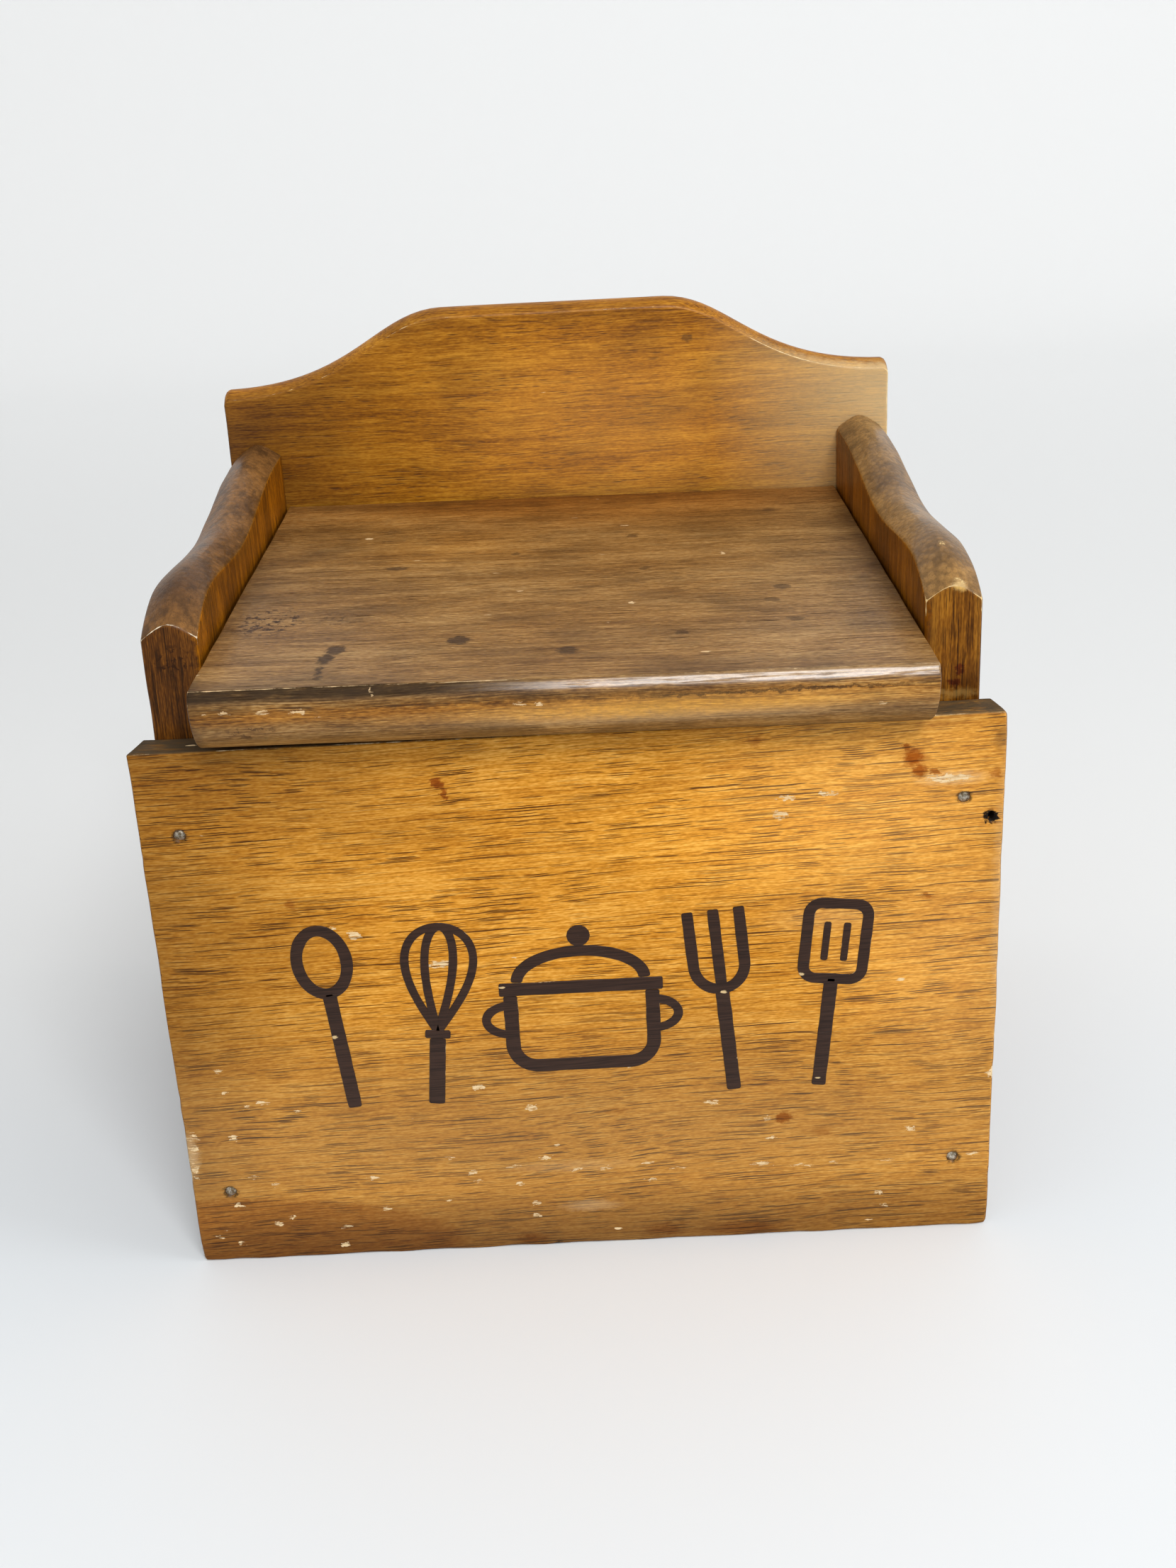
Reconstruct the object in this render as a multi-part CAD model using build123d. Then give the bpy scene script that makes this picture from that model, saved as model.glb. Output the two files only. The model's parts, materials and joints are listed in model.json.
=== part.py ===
from build123d import *
from math import radians, sin
import os

# Wooden recipe card box: a nailed case shaped like a small settle, with a high scrolled
# backboard, two scrolled arms and a lid that lifts on two pins between the arms.
#
# Frame: +X to the right, +Y to the back, +Z up. The origin is on the table, below the
# middle of the box's overall width and depth. All sizes are in millimetres.

# ---- Driving sizes -------------------------------------------------------------------

# Front panel
case_height = 118.2          # top edge of the front panel above the table
panel_overhang = 4.2         # each end, past the outer face of the side board behind it
panel_thickness = 8.0
panel_end_relief = 1.8       # each end slopes in by this much towards the back
panel_arris = 0.8            # softened edges of the front face

# Side boards, whose tops stand above the lid as arms
side_span = 162.0            # over the two outer faces
side_thickness = 11.2
side_depth = 122.1           # from the panel to the backboard
arm_front_rise = 20.0        # heights of the arm's top line above the case height
arm_hump_rise = 25.3
arm_dip_rise = 23.3
arm_scroll_rise = 27.8
arm_back_rise = 28.8
arm_hump_place = 26.0        # places along the arm, from its front end
arm_dip_place = 60.0
arm_scroll_place = 96.0
arm_front_angle = 34.0       # slope of the top line at the front end, in degrees
arm_crown = 3.1              # rise of the rounded top over its two long edges

# Backboard
back_overhang = 1.7          # each end, past the outer face of the side board
back_thickness = 8.2
back_end_rise = 43.1         # heights of its front top edge above the case height
back_peak_rise = 60.7
back_flat = 54.0             # level stretch at the middle of the top
back_round_pull = 17.0       # how far the level middle is drawn into the shoulder
back_cove_pull = 33.0        # how far the level end is drawn into the shoulder
back_crown = 2.0

# Bottom board
bottom_thickness = 6.0

# Lid
lid_thickness = 14.2
lid_overhang = 12.9          # front of the nose ahead of the front panel
lid_side_gap = 0.7           # between each end of the lid and its side board
lid_back_gap = 0.9           # between the lid and the backboard
lid_rest_gap = 0.25          # smallest gap between the shut lid and the front panel
lid_tilt = 0.65              # the lid sits a little higher at its left end, in degrees
nose_bevel_height = 2.4      # narrow bevel along the top of the nose
nose_bevel_depth = 1.7
lid_back_round = 1.2         # eased top edge beside the backboard

# Hinge
pin_radius = 1.0
pin_head_radius = 1.7
pin_head_height = 1.0
pin_in_lid = 12.0            # length of each pin inside the lid
pin_from_back = 12.0         # hinge line ahead of the lid's back edge
pin_below_top = 4.0          # hinge line below the lid's top, at the middle of the lid
pin_running_gap = 0.05       # radial clearance of the lid's bores on the pins
pin_end_gap = 0.5            # room left past each pin's tip

# Nails
nail_radius = 0.8
nail_head_radius = 1.25
nail_head_height = 0.8
nail_length = 30.0
nail_point = 2.5
nail_sink = 0.3              # heads lie this far below the wood
nail_fit = 0.02              # radial clearance of a nail in its hole
nail_from_edge = 4.1         # from a side board's outer face
nail_low_height = 17.5
nail_high_height = 100.6
bottom_nail_length = 26.0
bottom_nail_from_end = 24.0  # from each end of the side board

# ---- Places worked out from the sizes ------------------------------------------------

case_depth = panel_thickness + side_depth + back_thickness
overall_depth = lid_overhang + case_depth
y_panel_front = lid_overhang - overall_depth / 2
y_side_front = y_panel_front + panel_thickness
y_side_back = y_side_front + side_depth
y_case_back = y_side_back + back_thickness

x_outer = side_span / 2
x_inner = x_outer - side_thickness
x_arm = (x_outer + x_inner) / 2
x_panel = x_outer + panel_overhang
x_back = x_outer + back_overhang

lid_width = 2 * (x_inner - lid_side_gap)
y_lid_back = y_side_back - lid_back_gap
lid_drop = lid_width / 2 * sin(radians(lid_tilt))
z_lid_bottom = case_height + lid_rest_gap + lid_drop
z_lid_top = z_lid_bottom + lid_thickness

y_hinge = y_lid_back - pin_from_back
z_hinge = z_lid_top - pin_below_top
pin_length = side_thickness + lid_side_gap + pin_in_lid - nail_sink

z_top = case_height + back_peak_rise + back_crown

nail_columns = [-(x_outer - nail_from_edge), x_outer - nail_from_edge]
nail_rows = [nail_low_height, nail_high_height]
crown_root = 3.0             # the crowns are made as strips that reach this far into the boards
crown_lead = 4.0             # and an arm's strip starts this far past its ends, then is cut


# ---- Shared shapes -------------------------------------------------------------------

def solid_box(x, y, z):
    """A block between pairs of limits along X, Y and Z."""
    size = [high - low for low, high in (x, y, z)]
    middle = [(low + high) / 2 for low, high in (x, y, z)]
    return Pos(*middle) * Box(*size)


def crown_section(thickness, rise):
    """A board's rounded top in section: x across the board, y up, its long edges at y = 0."""
    half = thickness / 2
    arch = ThreePointArc((-half, 0), (0, rise), (half, 0))
    root = Polyline((half, 0), (half, -crown_root), (-half, -crown_root), (-half, 0))
    return make_face([arch, root])


def carry(section, path):
    """The section swept along a path that runs in an upright plane, with its y axis upward."""
    start = Plane(origin=path @ 0, x_dir=Vector(0, 0, 1).cross(path % 0), z_dir=path % 0)
    return sweep(start * section, path=path)


def nail(length, radius, head_radius, head_height):
    """A pointed round nail along Z, with its head's outer face at z = 0 and its tip below."""
    outline = Polyline(
        (0, 0, 0), (head_radius, 0, 0), (head_radius, 0, -head_height),
        (radius, 0, -head_height), (radius, 0, nail_point - length), (0, 0, -length),
        close=True)
    return revolve(make_face(outline), Axis.Z)


def nail_hole(length, radius, head_radius, head_height):
    """What a sunk nail takes out of the wood, placed like the nail itself."""
    shank = Pos(0, 0, -length / 2) * Cylinder(radius + nail_fit, length)
    seat_depth = head_height + nail_sink
    seat = Pos(0, 0, seat_depth / 2 - head_height) * Cylinder(head_radius + nail_fit, seat_depth)
    return shank + seat


def nails_at(places, make, *sizes):
    """One solid from make for each place."""
    return [place * make(*sizes) for place in places]


# ---- Where the nails and pins go -----------------------------------------------------

front_places = [Plane((x, y_panel_front + nail_sink, z), z_dir=(0, -1, 0))
                for x in nail_columns for z in nail_rows]
back_places = [Plane((x, y_case_back - nail_sink, z), z_dir=(0, 1, 0))
               for x in nail_columns for z in nail_rows]
bottom_places = [Plane((side * (x_outer - nail_sink), y, bottom_thickness / 2), z_dir=(side, 0, 0))
                 for side in (-1, 1)
                 for y in (y_side_front + bottom_nail_from_end, y_side_back - bottom_nail_from_end)]
pin_places = {name: Plane((side * (x_outer - nail_sink), y_hinge, z_hinge), z_dir=(side, 0, 0))
              for name, side in (("left", -1), ("right", 1))}

nail_sizes = (nail_length, nail_radius, nail_head_radius, nail_head_height)
bottom_nail_sizes = (bottom_nail_length, nail_radius, nail_head_radius, nail_head_height)
pin_sizes = (pin_length, pin_radius, pin_head_radius, pin_head_height)


# ---- The pieces ----------------------------------------------------------------------

def make_front_panel():
    """The wide front board, with ends that slope in towards the back."""
    front, back = x_panel, x_panel - panel_end_relief
    plan = Polyline((-front, y_panel_front), (front, y_panel_front),
                    (back, y_side_front), (-back, y_side_front), close=True)
    board = extrude(make_face(plan), case_height)
    face = board.faces().sort_by(Axis.Y)[0]
    board = fillet(face.edges(), panel_arris)
    return board - nails_at(front_places, nail_hole, *nail_sizes)


def arm_line(x):
    """The long top edge of a side board, as a curve from its front end to its back end."""
    places = [0, arm_hump_place, arm_dip_place, arm_scroll_place, side_depth]
    rises = [arm_front_rise, arm_hump_rise, arm_dip_rise, arm_scroll_rise, arm_back_rise]
    points = [(x, y_side_front + place, case_height + rise) for place, rise in zip(places, rises)]
    start = Vector(0, 1, 0).rotate(Axis.X, arm_front_angle)
    return Spline(points, tangents=[start, (0, 1, 0)])


def make_side(side):
    """A side board from the table up to its scrolled arm. side is -1 for left, 1 for right."""
    x = side * x_arm
    top = arm_line(x)
    outline = make_face([top, Polyline(top @ 1, (x, y_side_back, 0), (x, y_side_front, 0), top @ 0)])
    board = extrude(outline, side_thickness / 2, dir=(1, 0, 0), both=True)
    run_in = Line(top @ 0 - (top % 0) * crown_lead, top @ 0)
    run_out = Line(top @ 1, top @ 1 + (top % 1) * crown_lead)
    crown = carry(crown_section(side_thickness, arm_crown), Wire([run_in, top, run_out]))
    board += crown & solid_box((-x_panel, x_panel), (y_side_front, y_side_back), (0, z_top))
    holes = nails_at(front_places + back_places, nail_hole, *nail_sizes)
    holes += nails_at(bottom_places, nail_hole, *bottom_nail_sizes)
    holes += nails_at(pin_places.values(), nail_hole, *pin_sizes)
    return board - holes


def make_backboard():
    """The tall back board, level at the middle and ends of its top, with coved shoulders."""
    flat = back_flat / 2
    z_end, z_peak = case_height + back_end_rise, case_height + back_peak_rise
    y = (y_side_back + y_case_back) / 2
    shoulder = [(flat, z_peak), (flat + back_round_pull, z_peak),
                (x_back - back_cove_pull, z_end), (x_back, z_end)]
    right = Bezier(*[(x, y, z) for x, z in shoulder])
    left = Bezier(*[(-x, y, z) for x, z in reversed(shoulder)])
    middle = Line(left @ 1, right @ 0)
    sides = Polyline(right @ 1, (x_back, y, 0), (-x_back, y, 0), left @ 0)
    outline = make_face([left, middle, right, sides])
    board = extrude(outline, back_thickness / 2, dir=(0, 1, 0), both=True)
    board += carry(crown_section(back_thickness, back_crown), Wire([left, middle, right]))
    return board - nails_at(back_places, nail_hole, *nail_sizes)


def make_bottom_board():
    """The floor of the card compartment, flush with the lower edges of the boards round it."""
    board = solid_box((-x_inner, x_inner), (y_side_front, y_side_back), (0, bottom_thickness))
    return board - nails_at(bottom_places, nail_hole, *bottom_nail_sizes)


def make_lid():
    """The lid, with a rounded nose in front and a blind bore for a hinge pin in each end."""
    y_nose = y_panel_front - lid_overhang
    nose_radius = lid_thickness - nose_bevel_height
    upper = Polyline(
        (0, y_nose, z_lid_top - nose_bevel_height), (0, y_nose + nose_bevel_depth, z_lid_top),
        (0, y_lid_back, z_lid_top), (0, y_lid_back, z_lid_bottom),
        (0, y_nose + nose_radius, z_lid_bottom))
    nose = TangentArc(upper @ 1, upper @ 0, tangent=(0, -1, 0))
    board = extrude(make_face([upper, nose]), lid_width / 2, dir=(1, 0, 0), both=True)
    back_top = board.edges().filter_by(Axis.X).group_by(Axis.Y)[-1].sort_by(Axis.Z)[-1]
    board = fillet(back_top, lid_back_round)
    board = Pos(0, 0, z_lid_bottom) * Rot(0, lid_tilt, 0) * Pos(0, 0, -z_lid_bottom) * board
    bore_length = lid_side_gap + pin_in_lid + pin_end_gap
    for side in (-1, 1):
        middle = side * (x_inner - bore_length / 2)
        board -= Pos(middle, y_hinge, z_hinge) * Rot(0, 90, 0) * Cylinder(
            pin_radius + pin_running_gap, bore_length)
    return board


parts = {
    "front_panel": make_front_panel(),
    "left_side": make_side(-1),
    "right_side": make_side(1),
    "backboard": make_backboard(),
    "bottom_board": make_bottom_board(),
    "lid": make_lid(),
    "front_nails": Compound(nails_at(front_places, nail, *nail_sizes)),
    "back_nails": Compound(nails_at(back_places, nail, *nail_sizes)),
    "bottom_nails": Compound(nails_at(bottom_places, nail, *bottom_nail_sizes)),
    "hinge_pin_left": pin_places["left"] * nail(*pin_sizes),
    "hinge_pin_right": pin_places["right"] * nail(*pin_sizes),
}

os.makedirs("parts", exist_ok=True)
for name, shape in parts.items():
    export_step(shape, f"parts/{name}.step")
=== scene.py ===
"""A nailed wooden recipe card box: its dressed boards, lid, pins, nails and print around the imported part.

All sizes in this file are in millimetres, in the part's own frame: +X right, +Y back, +Z up, and the
origin on the table below the middle of the box. Meshes are turned into metres as they are made.
"""

import json
import logging
import math
from dataclasses import dataclass, field, replace
from enum import Enum
from functools import partial
from typing import ClassVar

import bpy
import numpy as np
from mathutils import Matrix, Vector


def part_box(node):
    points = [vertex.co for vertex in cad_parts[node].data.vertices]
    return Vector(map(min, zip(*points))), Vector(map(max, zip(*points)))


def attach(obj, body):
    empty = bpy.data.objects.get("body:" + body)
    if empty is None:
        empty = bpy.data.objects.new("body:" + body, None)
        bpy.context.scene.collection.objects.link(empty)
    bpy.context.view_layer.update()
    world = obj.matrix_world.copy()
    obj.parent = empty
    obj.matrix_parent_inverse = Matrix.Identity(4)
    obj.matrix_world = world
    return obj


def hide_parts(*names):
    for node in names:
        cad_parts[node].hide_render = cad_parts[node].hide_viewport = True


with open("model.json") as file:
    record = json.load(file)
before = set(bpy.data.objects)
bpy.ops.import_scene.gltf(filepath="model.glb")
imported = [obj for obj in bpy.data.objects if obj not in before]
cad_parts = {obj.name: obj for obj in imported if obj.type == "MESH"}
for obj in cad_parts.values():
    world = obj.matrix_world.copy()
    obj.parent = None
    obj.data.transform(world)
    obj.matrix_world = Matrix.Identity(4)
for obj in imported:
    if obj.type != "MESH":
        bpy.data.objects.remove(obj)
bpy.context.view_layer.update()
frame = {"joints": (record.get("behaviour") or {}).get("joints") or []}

LOG = logging.getLogger("card_box")
MM = 0.001

Colour = tuple[float, float, float]
Point = tuple[float, float, float]
Rows = tuple[tuple[float, ...], ...]
Socket = bpy.types.NodeSocket
Array = np.ndarray


class Body(Enum):
    """The two bodies that pieces ride on."""

    CASE = "case"
    LID = "lid"


class GrainWay(Enum):
    """The axis that a board's fibres run along."""

    ALONG_X = 0
    ALONG_Z = 2


class Face(Enum):
    """The axis that a marked face looks along."""

    UPRIGHT = 1
    LEVEL = 2


class MarkKind(Enum):
    """What a mark on the wood is, which decides how it is coloured."""

    STAIN = "stain"      # red-brown drips that soaked in; at the lid's back, painted shade and a painted reflection of the backboard
    CHIP = "chip"        # finish knocked off down to pale wood
    SMEAR = "smear"      # hazy, worn patches, and painted sheen and highlights
    GLOW = "glow"        # brighter, yellower wood, and painted light and reflections
    SPECKLE = "speckle"  # dried red-brown dots
    SOOT = "soot"        # near-black pits and rings
    SHADE = "shade"      # dirt, ink, darker wood, and painted shade


# ---- Numpy shapes ---------------------------------------------------------------------------------


def node_box(node: str) -> tuple[Array, Array]:
    """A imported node's lowest and highest corners in millimetres."""
    low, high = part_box(node)
    return np.array(low) / MM, np.array(high) / MM


def ripples(points: Array, wavelength: float, seed: int, waves: int = 14) -> Array:
    """Smooth seeded unevenness between about -1 and 1.

    It is the sum of sines of k . p + phase, for random directions k whose length is 2 pi over
    the wavelength, give or take half, scaled by the root of the number of waves.

    Args:
        points: places, one row each.
        wavelength: typical distance from one swell to the next.
        seed: picks the waves.
        waves: how many sines are added up.

    Returns:
        One value for each place.
    """
    pick = np.random.default_rng(seed)
    directions = pick.normal(size=(waves, points.shape[1]))
    directions /= np.linalg.norm(directions, axis=1, keepdims=True)
    steps = directions * (2 * math.pi / wavelength) * pick.uniform(0.6, 1.5, (waves, 1))
    phases = pick.uniform(0, 2 * math.pi, waves)
    return np.sin(points @ steps.T + phases).sum(1) / math.sqrt(waves) / 1.2


def ramp(values: Array, start: float, end: float) -> Array:
    """0 up to start, 1 from end, and a smooth step 3t^2 - 2t^3 between them; end may be below start."""
    t = np.clip((values - start) / (end - start), 0, 1)
    return t * t * (3 - 2 * t)


def block_surface(ticks: list[Array]) -> tuple[Array, Array]:
    """The closed surface of a block, cut by a lattice.

    Each of the six sides is a grid over two of the three tick lists. A lattice place i, j, k has the
    number (i * ny + j) * nz + k, and places with one number are one point, so edges are shared.

    Args:
        ticks: rising places along X, Y and Z, from one face of the block to the other.

    Returns:
        The points, and quads that face outwards.
    """
    sizes = [len(t) for t in ticks]
    quads = []
    for axis in range(3):
        u, v = (axis + 1) % 3, (axis + 2) % 3
        across, along = np.meshgrid(np.arange(sizes[u]), np.arange(sizes[v]), indexing="ij")
        for end in (0, sizes[axis] - 1):
            index = [None, None, None]
            index[axis] = np.full(across.shape, end)
            index[u], index[v] = across, along
            numbers = np.ravel_multi_index(index, sizes)
            corners = [numbers[:-1, :-1], numbers[1:, :-1], numbers[1:, 1:], numbers[:-1, 1:]]
            quads.append(np.stack(corners if end else corners[::-1], axis=-1).reshape(-1, 4))
    numbers, faces = np.unique(np.concatenate(quads), return_inverse=True)
    places = np.unravel_index(numbers, sizes)
    points = np.stack([ticks[axis][places[axis]] for axis in range(3)], axis=-1)
    return points, faces.reshape(-1, 4)


def ease_block(points: Array, low: Array, high: Array, radius: Array) -> tuple[Array, Array]:
    """Rounds a block's arrises.

    A point's centre is the nearest place in the block shrunk by the radius on all sides. The point
    moves to the radius from its centre, along the line between them: flat faces stay, arrises become
    quarter rounds and corners eighths of a ball.

    Args:
        points: places on the block's surface.
        low: the block's lowest corner.
        high: the block's highest corner.
        radius: the rounding wanted near each point.

    Returns:
        The moved points and their outward directions.
    """
    inner = np.clip(points, low + radius[:, None], high - radius[:, None])
    away = points - inner
    away /= np.linalg.norm(away, axis=1, keepdims=True)
    return inner + away * radius[:, None], away


def carry_ring(path: Array, across: Array, outward: Array, ring: Array, widths: Array) -> Array:
    """A flat ring carried along a path: point = path + width * ring_u * across + ring_v * outward.

    Args:
        path: the line's points.
        across: unit sideways directions, one for each path point.
        outward: one unit direction, off the surface.
        ring: the section's points, u from -1 to 1 and v in millimetres.
        widths: half widths along the path.

    Returns:
        An array of path points by ring points by three.
    """
    side = ring[None, :, 0, None] * widths[:, None, None] * across[:, None, :]
    return path[:, None, :] + side + ring[None, :, 1, None] * outward


def tube_quads(rows: int, columns: int, closed: bool) -> Array:
    """Quads between neighbouring rings of a tube, round each ring and, if closed, round the path."""
    numbers = np.arange(rows * columns).reshape(rows, columns)
    following = np.roll(numbers, -1, axis=0)
    first, second = (numbers, following) if closed else (numbers[:-1], following[:-1])
    corners = [first, second, np.roll(second, -1, axis=1), np.roll(first, -1, axis=1)]
    return np.stack(corners, axis=-1).reshape(-1, 4)


def mesh_object(name: str, points: Array, faces: list, layers: dict[str, Array]) -> bpy.types.Object:
    """A smooth-shaded object at the origin, with its place in its mesh.

    Args:
        name: the object's name.
        points: places in millimetres.
        faces: lists of point numbers.
        layers: values for each point that the finishes read by name.

    Returns:
        The linked object.
    """
    mesh = bpy.data.meshes.new(name)
    mesh.from_pydata((points * MM).tolist(), [], faces)
    mesh.polygons.foreach_set("use_smooth", np.ones(len(mesh.polygons), dtype=bool))
    for layer, values in layers.items():
        attribute = mesh.attributes.new(layer, "FLOAT", "POINT")
        attribute.data.foreach_set("value", np.asarray(values, dtype=np.float32))
    mesh.update()
    made = bpy.data.objects.new(name, mesh)
    bpy.context.scene.collection.objects.link(made)
    return made


@dataclass
class MeshParts:
    """Several closed shapes gathered into one mesh, with one layer of values."""

    points: list[Array] = field(default_factory=list)
    faces: list[list[int]] = field(default_factory=list)
    values: list[Array] = field(default_factory=list)

    def add(self, points: Array, faces: list, values: Array) -> None:
        """Adds a shape whose faces count from its own first point."""
        start = sum(map(len, self.points))
        self.faces += [[corner + start for corner in face] for face in faces]
        self.points.append(points)
        self.values.append(values)

    def made(self, name: str, layer: str) -> bpy.types.Object:
        """All the shapes as one object."""
        points, values = np.concatenate(self.points), np.concatenate(self.values)
        return mesh_object(name, points, self.faces, {layer: values})


# ---- Shader nodes ---------------------------------------------------------------------------------


@dataclass(frozen=True)
class Pattern:
    """Noise over a place, and the smooth step that cuts it into a mask.

    The stretch is per millimetre: one number, or one along the grain and two across it.
    """

    stretch: float | Point
    detail: float = 2.0
    rough: float = 0.5
    step: tuple[float, ...] = ()


class Wiring:
    """Adds nodes to one shader tree. Values may be sockets, which are linked, or constants."""

    RELIEF_REACH: ClassVar[float] = 0.0001

    def __init__(self, tree: bpy.types.NodeTree) -> None:
        """Keeps the tree that nodes are added to."""
        self.tree = tree

    def feed(self, node: bpy.types.Node, inputs: dict) -> None:
        """Links a node's inputs, given by name or number, to sockets or sets them to constants."""
        for name, value in inputs.items():
            socket = node.inputs[name]
            if isinstance(value, Socket):
                self.tree.links.new(value, socket)
            elif isinstance(value, tuple) and socket.type == "RGBA":
                socket.default_value = (*value, 1.0)
            else:
                socket.default_value = value

    def node(self, kind: str, inputs: dict, **settings: object) -> bpy.types.Node:
        """Adds a node, with its inputs as for feed and its own settings by keyword."""
        made = self.tree.nodes.new(kind)
        for setting, value in settings.items():
            setattr(made, setting, value)
        self.feed(made, inputs)
        return made

    def maths(self, operation: str, first: object, second: object, third: object = 0.0) -> Socket:
        """One step of arithmetic."""
        return self.node("ShaderNodeMath", {0: first, 1: second, 2: third}, operation=operation).outputs[0]

    def times(self, first: object, second: object) -> Socket:
        """The product."""
        return self.maths("MULTIPLY", first, second)

    def plus(self, first: object, second: object) -> Socket:
        """The sum."""
        return self.maths("ADD", first, second)

    def minus(self, first: object, second: object) -> Socket:
        """The difference."""
        return self.maths("SUBTRACT", first, second)

    def most(self, first: object, *others: object) -> Socket:
        """The largest of the values."""
        for other in others:
            first = self.maths("MAXIMUM", first, other)
        return first

    def blend(self, first: object, second: object, third: object) -> Socket:
        """first * second + third."""
        return self.maths("MULTIPLY_ADD", first, second, third)

    def vector(self, operation: str, first: object, second: object, out: str = "Vector") -> Socket:
        """One step of vector arithmetic. Out is Value where its answer is a number."""
        return self.node("ShaderNodeVectorMath", {0: first, 1: second}, operation=operation).outputs[out]

    def split(self, place: Socket) -> bpy.types.NodeOutputs:
        """A place's three parts."""
        return self.node("ShaderNodeSeparateXYZ", {0: place}).outputs

    def join(self, x: object, y: object, z: object) -> Socket:
        """Three parts as one place."""
        return self.node("ShaderNodeCombineXYZ", {0: x, 1: y, 2: z}).outputs[0]

    def step(self, value: object, start: object, end: object, low: float = 0.0, high: float = 1.0) -> Socket:
        """A smooth step from low at start to high at end."""
        inputs = {"Value": value, "From Min": start, "From Max": end, "To Min": low, "To Max": high}
        return self.node("ShaderNodeMapRange", inputs, interpolation_type="SMOOTHSTEP").outputs[0]

    def ramp(self, value: object, start: float, end: float) -> Socket:
        """A straight ramp from 0 at start to 1 at end."""
        inputs = {"Value": value, "From Min": start, "From Max": end}
        return self.node("ShaderNodeMapRange", inputs).outputs[0]

    def noise(self, place: Socket, pattern: Pattern) -> Socket:
        """A pattern's noise over a place, between 0 and 1."""
        scale = pattern.stretch
        if isinstance(scale, tuple):
            place, scale = self.vector("MULTIPLY", place, scale), 1.0
        inputs = {"Vector": place, "Scale": scale, "Detail": pattern.detail, "Roughness": pattern.rough}
        return self.node("ShaderNodeTexNoise", inputs).outputs[0]

    def mask(self, place: Socket, pattern: Pattern) -> Socket:
        """A pattern's noise, cut by its step."""
        return self.step(self.noise(place, pattern), *pattern.step)

    def cells(self, place: object, randomness: float = 1.0) -> tuple[Socket, bpy.types.NodeOutputs]:
        """Scattered cells one unit apart: the distance to the nearest middle, and that cell's own values."""
        inputs = {"Vector": place, "Scale": 1.0, "Randomness": randomness}
        made = self.node("ShaderNodeTexVoronoi", inputs).outputs
        return made["Distance"], self.node("ShaderNodeSeparateColor", {0: made["Color"]}).outputs

    def mix(self, factor: object, first: object, second: object, blend: str = "MIX") -> Socket:
        """One colour laid over another."""
        inputs = {0: factor, 6: first, 7: second}
        return self.node("ShaderNodeMix", inputs, data_type="RGBA", blend_type=blend).outputs[2]

    def tint(self, factor: object, colour: Socket, by: Colour) -> Socket:
        """A colour multiplied by another, by a share."""
        return self.mix(factor, colour, self.mix(1.0, colour, by, "MULTIPLY"))

    def layer(self, name: str) -> Socket:
        """A mesh's own value of that name."""
        return self.node("ShaderNodeAttribute", {}, attribute_name=name).outputs["Fac"]

    def apply(self, effect: type["SharedEffect"], inputs: dict) -> bpy.types.NodeOutputs:
        """What a shared effect gives for its inputs."""
        return self.node("ShaderNodeGroup", inputs, node_tree=effect.tree()).outputs

    def place(self) -> Socket:
        """Object coordinates in millimetres."""
        coordinates = self.node("ShaderNodeTexCoord", {}).outputs["Object"]
        return self.vector("MULTIPLY", coordinates, (1 / MM, 1 / MM, 1 / MM))

    def relief(self, shader: bpy.types.Node, height: Socket, strength: float = 0.5) -> None:
        """Gives a shader the slopes of a height."""
        inputs = {"Strength": strength, "Distance": self.RELIEF_REACH, "Height": height}
        self.feed(shader, {"Normal": self.node("ShaderNodeBump", inputs).outputs[0]})


def new_material(name: str) -> tuple[bpy.types.Material, Wiring, bpy.types.Node]:
    """A fresh material, its wiring and its Principled shader."""
    made = bpy.data.materials.new(name)
    made.use_nodes = True
    return made, Wiring(made.node_tree), made.node_tree.nodes["Principled BSDF"]


class SharedEffect:
    """A shader node group with named sockets, built the first time it is asked for."""

    name: ClassVar[str]
    takes: ClassVar[dict[str, str]]
    gives: ClassVar[tuple[str, ...]]
    built: ClassVar[dict[str, bpy.types.NodeTree]] = {}

    @classmethod
    def tree(cls) -> bpy.types.NodeTree:
        """The group, built once."""
        if cls.name not in SharedEffect.built:
            made = bpy.data.node_groups.new(cls.name, "ShaderNodeTree")
            for socket, kind in cls.takes.items():
                made.interface.new_socket(socket, in_out="INPUT", socket_type=kind)
            for socket in cls.gives:
                made.interface.new_socket(socket, in_out="OUTPUT", socket_type=NUMBER)
            wiring = Wiring(made)
            source = made.nodes.new("NodeGroupInput")
            target = made.nodes.new("NodeGroupOutput")
            wiring.feed(target, cls.wire(wiring, {socket: source.outputs[socket] for socket in cls.takes}))
            SharedEffect.built[cls.name] = made
        return SharedEffect.built[cls.name]

    @classmethod
    def wire(cls, nodes: Wiring, given: dict[str, Socket]) -> dict[str, Socket]:
        """Adds the group's nodes and returns what it gives out."""
        raise NotImplementedError


NUMBER = "NodeSocketFloat"
VECTOR = "NodeSocketVector"


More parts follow.
